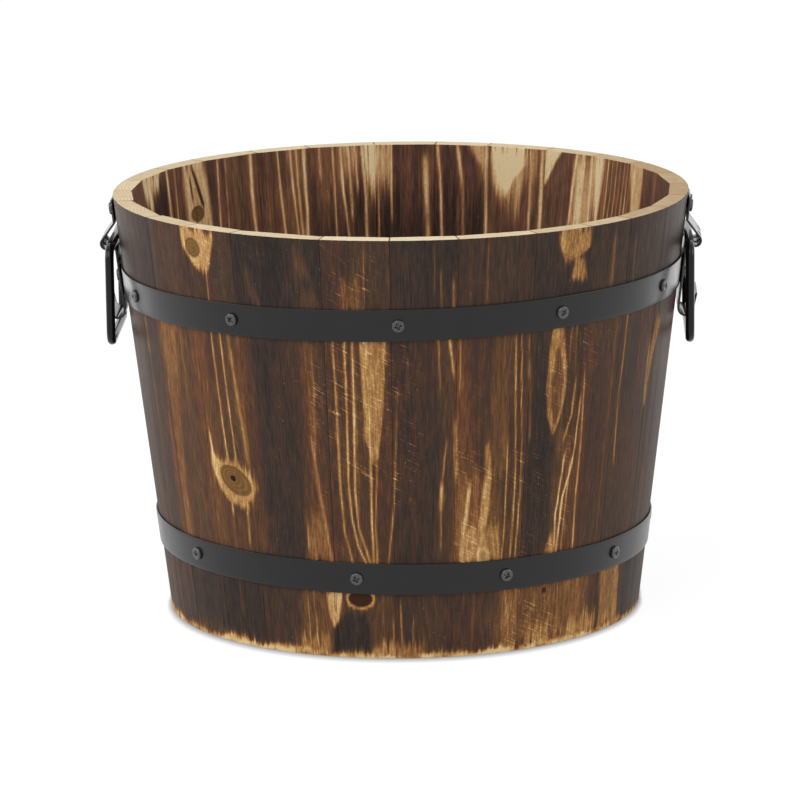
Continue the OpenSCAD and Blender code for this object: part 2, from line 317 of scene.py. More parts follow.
def add_bevel(made: bpy.types.Object, name: str, width: float, angle: float) -> bpy.types.Modifier:
    """Bevel an object's edges that turn by more than an angle.

    Args:
        made: The object.
        name: Name of the modifier.
        width: Width of the bevel in metres.
        angle: The angle in degrees.

    Returns:
        The modifier.
    """
    bevel = made.modifiers.new(name, "BEVEL")
    bevel.width = width
    bevel.segments = 2
    bevel.limit_method = "ANGLE"
    bevel.angle_limit = math.radians(angle)
    return bevel


def grid_quads(numbers: np.ndarray) -> np.ndarray:
    """Quads between the neighbours in a grid of point numbers, one row of four for each."""
    corners = [numbers[:-1, :-1], numbers[1:, :-1], numbers[1:, 1:], numbers[:-1, 1:]]
    return np.stack([corner.ravel() for corner in corners], axis=1)


def box_shell(across: int, deep: int, up: int) -> Lattice:
    """Lattice nodes on a box's surface and the quads between them, facing outwards.

    A node (i, j, k) is kept if one of its numbers is at an end of its range. Each of the six faces
    is a grid of quads over the other two numbers.

    Args:
        across, deep, up: Number of steps along each side of the box.

    Returns:
        Node numbers (n, 3), quads (m, 4) and the face of each quad: 0 front, 1 back, 2 start side,
        3 end side, 4 bottom, 5 top.
    """
    i, j, k = np.indices((across + 1, deep + 1, up + 1))
    shell = (i == 0) | (i == across) | (j == 0) | (j == deep) | (k == 0) | (k == up)
    number = np.full(shell.shape, -1)
    number[shell] = np.arange(shell.sum())

    sheets = [
        (number[:, 0, :], 1), (number[:, deep, :], -1),
        (number[0, :, :], -1), (number[across, :, :], 1),
        (number[:, :, 0], -1), (number[:, :, up], 1),
    ]
    faces = [grid_quads(sheet)[:, ::order] for sheet, order in sheets]
    side = np.concatenate([np.full(len(f), n) for n, f in enumerate(faces)])
    return np.stack([i[shell], j[shell], k[shell]], axis=1), np.concatenate(faces), side


def round_arrises(position: np.ndarray, size: np.ndarray, radius: np.ndarray) -> np.ndarray:
    """Round a box's edges: the nearest point of the box shrunk by the radius, plus the radius outwards.

    Args:
        position: Points on the box's surface, one row each.
        size: The box's sizes at each point.
        radius: The arris radius at each point, as a column.

    Returns:
        The moved points.
    """
    core = np.clip(position, radius, size - radius)
    away = position - core
    return core + away * radius / np.linalg.norm(away, axis=1, keepdims=True)


def sweep_quads(rings: int, around: int, closed: bool) -> np.ndarray:
    """Quads of a tube made of rings of points, with its ends left open unless it closes on itself.

    Args:
        rings: Number of rings along the path.
        around: Number of points in each ring, counter-clockwise as seen from the path's far end.
        closed: Whether the last ring joins the first.

    Returns:
        One row of four point numbers for each face.
    """
    ring, spot = np.indices((rings if closed else rings - 1, around))
    following, beside = (ring + 1) % rings, (spot + 1) % around
    corners = [ring * around + spot, ring * around + beside,
               following * around + beside, following * around + spot]
    return np.stack([c.ravel() for c in corners], axis=1)


def strip_cap(around: int) -> np.ndarray:
    """Quads that close a ring of points by a strip across it, from its first point to its last."""
    spot = np.arange(around // 2 - 1)
    return np.stack([spot, spot + 1, around - 2 - spot, around - 1 - spot], axis=1)


def closed_tube(rings: int, around: int) -> np.ndarray:
    """Quads of a tube whose rings run clockwise along it, with a strip over each end.

    Args:
        rings: Number of rings along the tube.
        around: Number of points in each ring.

    Returns:
        One row of four point numbers for each face.
    """
    sides = sweep_quads(rings, around, closed=False)[:, ::-1]
    cap = strip_cap(around)
    return np.concatenate([sides, cap, cap[:, ::-1] + (rings - 1) * around])


# ---------- Shader graphs ----------


class Graph:
    """Short way to write a node tree: each method adds one node, feeds it and returns its output."""

    def __init__(self, tree: bpy.types.NodeTree) -> None:
        """Start with an empty tree."""
        self.tree = tree
        tree.nodes.clear()

    def feed(self, socket: Socket, source: Feed) -> None:
        """Link a source to a socket, or set the socket's own value."""
        if isinstance(source, Socket):
            self.tree.links.new(source, socket)
        else:
            socket.default_value = source

    def node(self, kind: str, feeds: dict[str | int, Feed] | None = None,
             **settings: object) -> bpy.types.Node:
        """Add a node.

        Args:
            kind: Blender's name for the node type, without its first part.
            feeds: What goes into its sockets, by name or number.
            **settings: Node settings to change.

        Returns:
            The new node.
        """
        made = self.tree.nodes.new("ShaderNode" + kind)
        for key, value in settings.items():
            setattr(made, key, value)
        for key, source in (feeds or {}).items():
            self.feed(made.inputs[key], source)
        return made

    def math(self, operation: str, first: Feed, second: Feed = 0.0, clamp: bool = False) -> Socket:
        """One arithmetic step."""
        return self.node("Math", {0: first, 1: second}, operation=operation, use_clamp=clamp).outputs[0]

    def times(self, first: Feed, second: Feed) -> Socket:
        """Product of two values."""
        return self.math("MULTIPLY", first, second)

    def add(self, *terms: tuple[Feed, float]) -> Socket:
        """Sum of sources, each with its own weight.

        Args:
            *terms: Pairs of a source and its weight.

        Returns:
            The output of the last sum.
        """
        total: Feed = 0.0
        for source, weight in terms:
            total = self.node("Math", {0: source, 1: weight, 2: total}, operation="MULTIPLY_ADD").outputs[0]
        return total

    def rise(self, source: Feed, low: float, high: float) -> Socket:
        """Smooth step from 0 at low to 1 at high."""
        feeds = {"Value": source, 1: low, 2: high}
        return self.node("MapRange", feeds, interpolation_type="SMOOTHSTEP").outputs[0]

    def mix(self, factor: Feed, first: Feed, second: Feed) -> Socket:
        """Blend of two colours."""
        return self.node("Mix", {0: factor, 6: first, 7: second}, data_type="RGBA").outputs[2]

    def ramp(self, factor: Feed, stops: Tones) -> Socket:
        """Colour that changes along a value.

        Args:
            factor: The value.
            stops: Pairs of a place on the ramp and the colour there.

        Returns:
            The colour output.
        """
        made = self.node("ValToRGB", {0: factor})
        elements = made.color_ramp.elements
        while len(elements) < len(stops):
            elements.new(0.5)
        for element, (place, colour) in zip(elements, stops):
            element.position = place
            element.color = colour
        return made.outputs[0]

    def scaled(self, vector: Feed, scale: tuple[float, float, float]) -> Socket:
        """Vector times a scale along each axis."""
        return self.node("VectorMath", {0: vector, 1: scale}, operation="MULTIPLY").outputs[0]

    def grain(self, vector: Feed, scale: tuple[float, float, float], detail: float) -> Socket:
        """Noise over a vector, with a number of bumps to a unit along each of its axes."""
        feeds = {"Vector": self.scaled(vector, scale), "Scale": 1.0, "Detail": detail}
        return self.node("TexNoise", feeds).outputs["Fac"]

    def attribute(self, name: str, vector: bool = False) -> Socket:
        """Value or vector that the mesh holds at each point."""
        made = self.node("Attribute", attribute_name=name)
        return made.outputs["Vector" if vector else "Fac"]

    def group(self, group: bpy.types.NodeTree, feeds: dict[str, Feed]) -> bpy.types.Node:
        """Place a shared group."""
        return self.node("Group", feeds, node_tree=group)

    def seen(self) -> Socket:
        """1 for what the camera sees, straight or in a reflection, and 0 for light on its way."""
        path = self.node("LightPath").outputs
        mirrored = self.math("MAXIMUM", path["Is Glossy Ray"], path["Is Transmission Ray"])
        return self.math("MAXIMUM", path["Is Camera Ray"], mirrored)

    def close(self, colour: Feed, rough: Feed, specular: float, height: Feed, strength: float,
              depth: float) -> None:
        """Feed a material's main shader and its output.

        Args:
            colour, rough, specular: The shader's base colour, roughness and specular level.
            height: The surface's relief.
            strength: Strength of the relief's bump.
            depth: Depth of the bump in metres.
        """
        bump = self.node("Bump", {"Strength": strength, "Distance": depth, "Height": height})
        shader = self.node("BsdfPrincipled", {"Base Color": colour, "Roughness": rough,
                                              "Specular IOR Level": specular, "Normal": bump.outputs[0]})
        self.feed(self.node("OutputMaterial").inputs[0], shader.outputs[0])


def new_material(name: str) -> tuple[Material, Graph]:
    """Start a material, with the graph that fills it."""
    material = bpy.data.materials.new(name)
    material.use_nodes = True
    return material, Graph(material.node_tree)


def new_group(name: str, inputs: dict[str, str]) -> tuple[Graph, bpy.types.NodeOutputs]:
    """Start a shared shader group.

    Args:
        name: Group's name.
        inputs: Input names and whether each is a Float or a Vector.

    Returns:
        A graph to fill the group, and the sockets of what comes into it.
    """
    tree = bpy.data.node_groups.new(name, "ShaderNodeTree")
    for label, kind in inputs.items():
        tree.interface.new_socket(label, in_out="INPUT", socket_type="NodeSocket" + kind)
    graph = Graph(tree)
    return graph, tree.nodes.new("NodeGroupInput").outputs


def end_group(graph: Graph, **masks: Socket) -> bpy.types.NodeTree:
    """Give a group its named outputs.

    Args:
        graph: The group's graph.
        **masks: What the group puts out, by name.

    Returns:
        The finished group.
    """
    for label in masks:
        graph.tree.interface.new_socket(label, in_out="OUTPUT", socket_type="NodeSocketFloat")
    sink = graph.tree.nodes.new("NodeGroupOutput")
    for label, mask in masks.items():
        graph.feed(sink.inputs[label], mask)
    return graph.tree


def build_grain_group() -> bpy.types.NodeTree:
    """Wood grain along a board: fine fibres, wider streaks and broad blotches, all stretched along Y.

    Returns:
        The group, which reads a Board vector in metres.
    """
    g, given = new_group("wood grain", {"Board": "Vector"})
    board = given["Board"]
    fibre = g.grain(board, (950, 85, 3.1), 3.0)
    streak = g.grain(board, (230, 8, 1.7), 3.0)
    blotch = g.grain(board, (60, 15, 2.3), 2.0)
    speckle = g.grain(board, (900, 420, 1.3), 0.0)
    hue = g.grain(board, (70, 5, 6.1), 1.0)
    height = g.add((fibre, 0.6), (streak, 0.4))
    return end_group(g, Fibre=fibre, Streak=streak, Blotch=blotch, Speckle=speckle, Hue=hue, Height=height)


def build_scratch_group() -> bpy.types.NodeTree:
    """Brush scratches: long thin marks at one angle across a board, thick in some places, absent in others.

    Returns:
        The group, which reads a Board vector in metres and the marks' angle in radians.
    """
    g, given = new_group("brush scratches", {"Board": "Vector", "Angle": "Float"})
    board = given["Board"]
    turned_board = g.node("VectorRotate", {"Vector": board, "Angle": given["Angle"]}, rotation_type="Z_AXIS")
    turn = turned_board.outputs[0]
    marks = g.rise(g.grain(turn, (70, 1150, 4.0), 2.0), 0.57, 0.72)
    where = g.rise(g.grain(board, (34, 24, 5.0), 2.0), 0.38, 0.60)
    beads = g.rise(g.grain(board, (800, 800, 6.0), 1.0), 0.30, 0.62)
    fine = g.rise(g.grain(turn, (260, 2100, 4.0), 1.0), 0.56, 0.72)
    coarse = g.times(g.times(marks, where), beads)
    return end_group(g, Mask=g.add((coarse, 1.25), (fine, 0.35)))


def build_paint_group() -> bpy.types.NodeTree:
    """Baked paint on steel: a slow mottle and a fine pebble for the bump.

    Returns:
        The group, which reads a Place vector in metres.
    """
    g, given = new_group("baked paint", {"Place": "Vector"})
    mottle = g.grain(given["Place"], (60, 60, 60), 3.0)
    pebble = g.grain(given["Place"], (1700, 1700, 1700), 1.0)
    return end_group(g, Mottle=mottle, Height=g.add((pebble, 0.8), (mottle, 0.2)))


# ---------- Finishes ----------


@dataclass(frozen=True)
class ScorchedWood:
    """Burnt and brushed fir: its tone climbs from char over brown and gold to bare pale wood.

    The mesh gives the board coordinates and, at each point, how far the char is worn off (bare), how
    brown it is (warm), how black (soot), how scratched (scuff) and how far inside a knot it lies (knot).
    """

    name: str
    red: Tones
    golden: Tones
    offset: float
    warm_gain: float
    bare_gain: float
    streak_gain: float
    fibre_gain: float
    blotch_gain: float
    scratch_gain: float
    roughness: float
    specular: float
    soot_gain: float = -0.25
    brush_angle: float = 28.0
    fleck_gain: float = 0.22

    KNOT_TONES = ((0.3, linear(92, 64, 38)), (0.5, linear(122, 88, 50)), (0.75, linear(150, 114, 68)))
    KNOT_BURNT = linear(62, 38, 27)
    KNOT_PITH = linear(40, 28, 20)
    KNOT_RIM = linear(78, 50, 30)

    def material(self, grain: bpy.types.NodeTree, scratches: bpy.types.NodeTree) -> Material:
        """Build the material.

        Args:
            grain, scratches: The shared groups.

        Returns:
            The material.
        """
        material, g = new_material(self.name)
        board = g.attribute("board", vector=True)
        bare, warm, soot, scuff, knot = (g.attribute(n) for n in ("bare", "warm", "soot", "scuff", "knot"))
        wood = g.group(grain, {"Board": board}).outputs
        streak, speckle, blotch = wood["Streak"], wood["Speckle"], wood["Blotch"]
        scratch = g.group(scratches, {"Board": board, "Angle": math.radians(self.brush_angle)}).outputs[0]
        scratch = g.times(scratch, scuff)
        gains = self.streak_gain + self.fibre_gain + self.blotch_gain
        broken = g.times(bare, g.add((speckle, 0.4), (1.0, 0.8)))
        level = g.add((warm, self.warm_gain), (broken, self.bare_gain), (soot, self.soot_gain),
                      (streak, self.streak_gain), (wood["Fibre"], self.fibre_gain),
                      (blotch, self.blotch_gain), (scratch, self.scratch_gain),
                      (1.0, self.offset - gains / 2))
        yellow = g.rise(g.add((wood["Hue"], 1.0), (bare, 0.22)), 0.38, 0.66)
        colour = g.mix(yellow, g.ramp(level, self.red), g.ramp(level, self.golden))
        fleck = g.times(g.rise(speckle, 0.82, 0.86), g.rise(blotch, 0.45, 0.62))
        pale = self.golden[-2][1]
        colour = g.mix(g.times(fleck, self.fleck_gain), colour, pale)
        colour = g.mix(g.rise(knot, 0.0, 0.11), colour, self._knot_colour(g, knot, soot, wood))
        rough = g.add((streak, 0.20), (bare, 0.10), (1.0, self.roughness - 0.10))
        height = g.add((wood["Height"], 1.0), (scratch, -0.35))
        g.close(colour, rough, self.specular, height, 0.55, 0.0005)
        return material

    def _knot_colour(self, g: Graph, knot: Socket, soot: Socket, wood: bpy.types.NodeOutputs) -> Socket:
        """Wood of a knot: waves of year rings round its pith, darkest at the pith and where it is burnt.

        Args:
            g: The material's graph.
            knot: How far inside a knot a point lies.
            soot: How black it is.
            wood: The grain's masks.

        Returns:
            The colour.
        """
        fibre, streak = wood["Fibre"], wood["Streak"]
        rings = g.math("SINE", g.add((knot, 30.0), (streak, 9.0)))
        colour = g.ramp(g.add((rings, 0.08), (fibre, 0.5), (streak, 0.4), (1.0, 0.05)), self.KNOT_TONES)
        colour = g.mix(g.math("MULTIPLY", soot, 2.4, clamp=True), colour, self.KNOT_BURNT)
        pith = g.rise(g.add((knot, 1.0), (fibre, 0.3), (1.0, -0.15)), 0.74, 0.84)
        colour = g.mix(pith, colour, self.KNOT_PITH)
        rim = g.times(g.rise(knot, 0.22, 0.02), 0.6)
        return g.mix(rim, colour, self.KNOT_RIM)


@dataclass(frozen=True)
class EndGrain:
    """Sawn end of a stave: pale wood with curved year rings, fine pores, stains and painted shade."""

    name: str
    pale: Colour
    tan: Colour
    ring: Colour
    stained: Colour
    joint: Colour
    ring_step: float = 0.0026

    def material(self) -> Material:
        """Build the material, which reads the board and ring coordinates, the tone, which holds painted
        shade, and the joints.

        Returns:
            The material.
        """
        material, g = new_material(self.name)
        board = g.attribute("board", vector=True)
        tone, ring, joint = g.attribute("tone"), g.attribute("ring"), g.attribute("joint")
        place = g.node("TexCoord").outputs["Object"]
        wander = g.grain(place, (130, 130, 130), 2.0)
        wave = g.math("SINE", g.add((ring, TAU / self.ring_step), (wander, 5.0)))
        line = g.rise(wave, 0.35, 1.0)
        pores = g.grain(place, (1500, 1500, 1500), 2.0)
        # Pale to tan by the stave's tone, which holds painted shade towards the handles, and by the wander
        colour = g.mix(g.add((tone, 1.0), (wander, 0.6), (1.0, -0.3)), self.pale, self.tan)
        colour = g.mix(g.times(line, 0.5), colour, self.ring)
        colour = g.mix(g.times(g.rise(pores, 0.60, 0.75), 0.35), colour, self.ring)
        stain = g.rise(g.grain(board, (60, 60, 5), 3.0), 0.62, 0.78)
        colour = g.mix(g.times(stain, 0.35), colour, self.stained)
        colour = g.mix(g.rise(joint, 0.2, 0.9), colour, self.joint)
        rough = g.add((pores, 0.2), (1.0, 0.62))
        g.close(colour, rough, 0.2, g.add((wave, 0.25), (pores, 0.8)), 0.4, 0.0003)
        return material


@dataclass(frozen=True)
class PaintedSteel:
    """Black baked paint on steel."""

    name: str
    colour: Colour
    mottled: Colour
    roughness: float
    specular: float
    pebble: float

    def material(self, paint: bpy.types.NodeTree) -> Material:
        """Build the material.

        Args:
            paint: The shared paint group.

        Returns:
            The material.
        """
        material, g = new_material(self.name)
        coat = g.group(paint, {"Place": g.node("TexCoord").outputs["Object"]}).outputs
        colour = g.mix(g.rise(coat["Mottle"], 0.3, 0.7), self.colour, self.mottled)
        rough = g.add((coat["Mottle"], 0.16), (1.0, self.roughness - 0.08))
        g.close(colour, rough, self.specular, coat["Height"], self.pebble, 0.0002)
        return material


@dataclass(frozen=True)
class PlanedWood:
    """Planed floor boards: tan wood with dark grain lines, read from where the board lies."""

    name: str
    pale: Colour
    dark: Colour

    def material(self, grain: bpy.types.NodeTree) -> Material:
        """Build the material.

        Args:
            grain: The shared grain group.

        Returns:
            The material.
        """
        material, g = new_material(self.name)
        place = g.node("TexCoord").outputs["Object"]
        wood = g.group(grain, {"Board": g.scaled(place, (0.6, 1.0, 1.0))}).outputs
        tone = g.add((wood["Fibre"], 0.4), (wood["Streak"], 0.6))
        colour = g.mix(g.rise(tone, 0.32, 0.70), self.dark, self.pale)
        colour = g.mix(g.times(g.rise(wood["Blotch"], 0.45, 0.7), 0.5), colour, self.dark)
        g.close(colour, g.add((tone, 0.25), (1.0, 0.5)), 0.25, wood["Height"], 0.4, 0.0004)
        return material


@dataclass(frozen=True)
class Finishes:
    """The planter's materials, made once and shared by its pieces."""

    outside: Material
    inside: Material
    ends: Material
    boards: Material
    hoop: Material
    bracket: Material
    ring: Material
    screw: Material

    @classmethod
    def build(cls) -> "Finishes":
        """Build the shared groups and every material.

        Returns:
            The planter's materials.
        """
        grain, scratches, paint = build_grain_group(), build_scratch_group(), build_paint_group()
        outside = ScorchedWood(
            "scorched outside",
            red=tones((46, 40, 38), (62, 51, 46), (84, 59, 46), (111, 73, 49),
                      (146, 100, 62), (178, 129, 80), (204, 162, 106), (228, 198, 148)),
            golden=tones((48, 42, 39), (63, 53, 47), (84, 63, 48), (113, 78, 49),
                         (147, 104, 62), (180, 134, 81), (206, 165, 106), (230, 202, 150)),
            offset=0.155, warm_gain=0.24, bare_gain=0.61, streak_gain=0.22, fibre_gain=0.60, blotch_gain=0.22,
            scratch_gain=0.43, roughness=0.50, specular=0.07)
        inside = ScorchedWood(
            "scorched inside",
            red=tones((30, 22, 20), (56, 39, 33), (86, 58, 47), (122, 80, 59),
                      (160, 110, 76), (192, 147, 102), (210, 176, 128), (228, 204, 162)),
            golden=tones((30, 24, 20), (56, 41, 33), (86, 61, 46), (124, 86, 58),
                         (163, 117, 77), (197, 153, 105), (212, 180, 130), (230, 208, 164)),
            offset=0.27, warm_gain=0.30, bare_gain=0.74, streak_gain=0.44, fibre_gain=0.46, blotch_gain=0.34,
            scratch_gain=0.1, roughness=0.55, specular=0.12)
        ends = EndGrain("sawn ends", pale=linear(235, 219, 184), tan=linear(176, 149, 111),
                        ring=linear(184, 149, 106), stained=linear(150, 112, 74), joint=linear(120, 74, 46))
        boards = PlanedWood("planed floor", pale=linear(164, 124, 82), dark=linear(92, 62, 42))
        steels = (
            PaintedSteel("satin black hoop", linear(11, 11, 10), linear(16, 16, 15), 0.30, 0.38, 0.08),
            PaintedSteel("black bracket", linear(20, 20, 20), linear(26, 26, 26), 0.15, 0.55, 0.05),
            PaintedSteel("gloss black ring", linear(10, 10, 10), linear(14, 14, 14), 0.12, 0.26, 0.05),
            PaintedSteel("blackened screw", linear(34, 34, 36), linear(50, 50, 52), 0.22, 0.9, 0.1),
        )
        return cls(outside.material(grain, scratches), inside.material(grain, scratches), ends.material(),
                   boards.material(grain), *(steel.material(paint) for steel in steels))


# ---------- Marks in the wood ----------


class Effect(Enum):
    """What a patch does to the char."""

    BARE = "wears it off"
    CHARRED = "blackens it"
    WARM = "leaves it brown"
    SCUFFED = "scratches it"


@dataclass(frozen=True)
class Streak:
    """Bare line of grain along a course of (direction, height) points, from top to bottom."""

    course: Course
    width: float
    strength: float


@dataclass(frozen=True)
class Patch:
    """Area between a left and a right course of (direction, height) points, from top to bottom.

    A patch that clears also takes away the bare marks laid before it.
    """

    left: Course
    right: Course
    strength: float
    effect: Effect = Effect.BARE
    feather: float = 1.2
    flame: float = 5.0
    clears: bool = False


@dataclass(frozen=True)
class Knot:
    """Round knot: its middle, half-lengths across and up before its tilt, its halo and its pith.

    The halo is a share of the knot's own size, and the pith's place is a share of its half-lengths.
    """

    direction: float
    height: float
    across: float
    up: float
    tilt: float = 0.0
    halo: float = 0.3
    disc: float = 1.0
    pith: tuple[float, float] = (0.0, 0.0)
    soot: float = 0.0


OUTSIDE_STREAKS = (
    Streak(((-155, 219), (-155.2, 194)), 2.8, 0.6),
    Streak(((-130, 268), (-130, 244), (-130.4, 221), (-129.6, 157), (-129.2, 132)), 1.2, 0.85),
    Streak(((-128.2, 240), (-128, 222), (-127.4, 175), (-126.8, 132)), 1.2, 0.9),
    Streak(((-125.9, 222), (-124.7, 177), (-123.6, 132)), 2.6, 0.5),
    Streak(((-134, 150), (-133.4, 128)), 1.4, 1),
    Streak(((-129.4, 106), (-129.3, 94)), 1.4, 0.9),
    Streak(((-125, 106), (-125.2, 74)), 1.6, 0.75),
    Streak(((-106.6, 218), (-107.1, 155), (-106.8, 119), (-105.2, 80)), 1.5, 0.45),
    Streak(((-107.6, 154), (-106.8, 126), (-105.7, 98), (-104.3, 68)), 1.8, 0.6),
    Streak(((-109.9, 101), (-109.5, 66)), 1, 0.6),
    Streak(((-102.2, 226), (-102.1, 141), (-102, 120), (-101.3, 89), (-99.6, 66)), 1.4, 0.82),
    Streak(((-99.8, 226), (-100.1, 141), (-100.2, 126), (-99.7, 102), (-98.4, 79), (-96.4, 66)), 1.3, 0.95),
    Streak(((-98.2, 226), (-98.7, 141), (-98.8, 120), (-98.2, 93), (-95.6, 66)), 1.3, 1),
    Streak(((-95.4, 226), (-95.3, 141), (-95.3, 109), (-95, 66)), 1.6, 1),
    Streak(((-94, 140), (-94.4, 100), (-94.2, 66)), 1.2, 0.7),
    Streak(((-89.3, 190), (-89.8, 141), (-90.3, 109), (-91.8, 66)), 1.3, 0.62),
    Streak(((-87, 214), (-87.2, 190)), 1, 0.4),
    Streak(((-82, 291), (-81.8, 258)), 1, 0.52),
    Streak(((-80.7, 272), (-80.3, 244), (-80.9, 224), (-80.5, 190)), 1, 0.7),
    Streak(((-78.1, 265), (-77.9, 244), (-78.6, 223), (-77.8, 199)), 1.8, 0.75),
    Streak(((-76.6, 224), (-76.5, 190)), 0.9, 0.52),
    Streak(((-77.5, 165), (-77.1, 128)), 1.9, 0.52),
    Streak(((-79.2, 152), (-80, 123), (-80.1, 105), (-80, 78)), 1, 0.8),
    Streak(((-80, 124), (-80.1, 103)), 2.4, 0.95),
    Streak(((-74.3, 120), (-74.8, 101), (-75.3, 84)), 2, 0.7),
    Streak(((-75.1, 90), (-75.6, 64)), 1.6, 0.6),
    Streak(((-66, 155), (-65.9, 116), (-66.2, 66)), 0.9, 0.78),
    Streak(((-65, 224), (-64.1, 151), (-63.9, 116), (-64.2, 66)), 1.1, 0.92),
    Streak(((-63.7, 224), (-62.7, 150), (-62.5, 115), (-63, 66)), 0.9, 0.88),
    Streak(((-62, 222), (-60.7, 150)), 1, 0.58),
    Streak(((-51.9, 226), (-52, 201)), 1.1, 0.62),
    Streak(((-50.6, 226), (-50.4, 196)), 1.1, 0.5),
    Streak(((-50.1, 189), (-50.5, 163), (-52, 146)), 1.5, 0.72),
    Streak(((-48.2, 175), (-48.5, 156), (-48.7, 139), (-49.7, 122), (-51.3, 105), (-51.9, 66)), 1.4, 0.95),
    Streak(((-51.3, 137), (-52.2, 111), (-52.9, 93), (-52.5, 66)), 1.3, 0.85),
    Streak(((-47.8, 194), (-46.9, 138), (-47.2, 109), (-47, 66)), 1.3, 0.75),
    Streak(((-49.8, 128), (-50.4, 90), (-50.5, 66)), 1.1, 0.6),
    Streak(((-41.9, 284), (-42.1, 250)), 2.9, 0.45),
    Streak(((-35.1, 279), (-34.7, 247)), 2.1, 0.45),
    Streak(((-35.4, 226), (-35.6, 199), (-36.1, 170), (-35.2, 120)), 1.2, 0.72),
    Streak(((-29.5, 224), (-29.8, 160)), 1.1, 0.35),
    Streak(((-24.6, 200), (-25, 176), (-24.4, 158)), 1.3, 0.75),
    Streak(((-71.4, 290), (-71.4, 250)), 1.3, 0.42),
    Streak(((-95.5, 288), (-95.6, 244)), 1, 0.5),
    Streak(((-87.3, 284), (-87.4, 270)), 2.1, 0.35),
    Streak(((-110.9, 48), (-110.7, 4)), 1.1, 0.85),
    Streak(((-109.2, 48), (-108.9, 4)), 1.1, 0.85),
    Streak(((-91, 30), (-90.6, 4)), 1, 0.55),
    Streak(((-89.5, 40), (-88.9, 4)), 1.2, 0.8),
    Streak(((-86.5, 28), (-86.6, 4)), 1, 0.65),
    Streak(((-64.8, 46), (-63.4, 8)), 1.2, 0.75),
    Streak(((-63.4, 44), (-62.5, 12)), 1, 0.62),
    Streak(((-55.6, 48), (-54.5, 40), (-53.4, 26)), 5.6, 0.52),
    Streak(((-50.6, 46), (-50, 6)), 1, 0.7),
    Streak(((-49.4, 46), (-48.6, 6)), 1, 0.6),
)

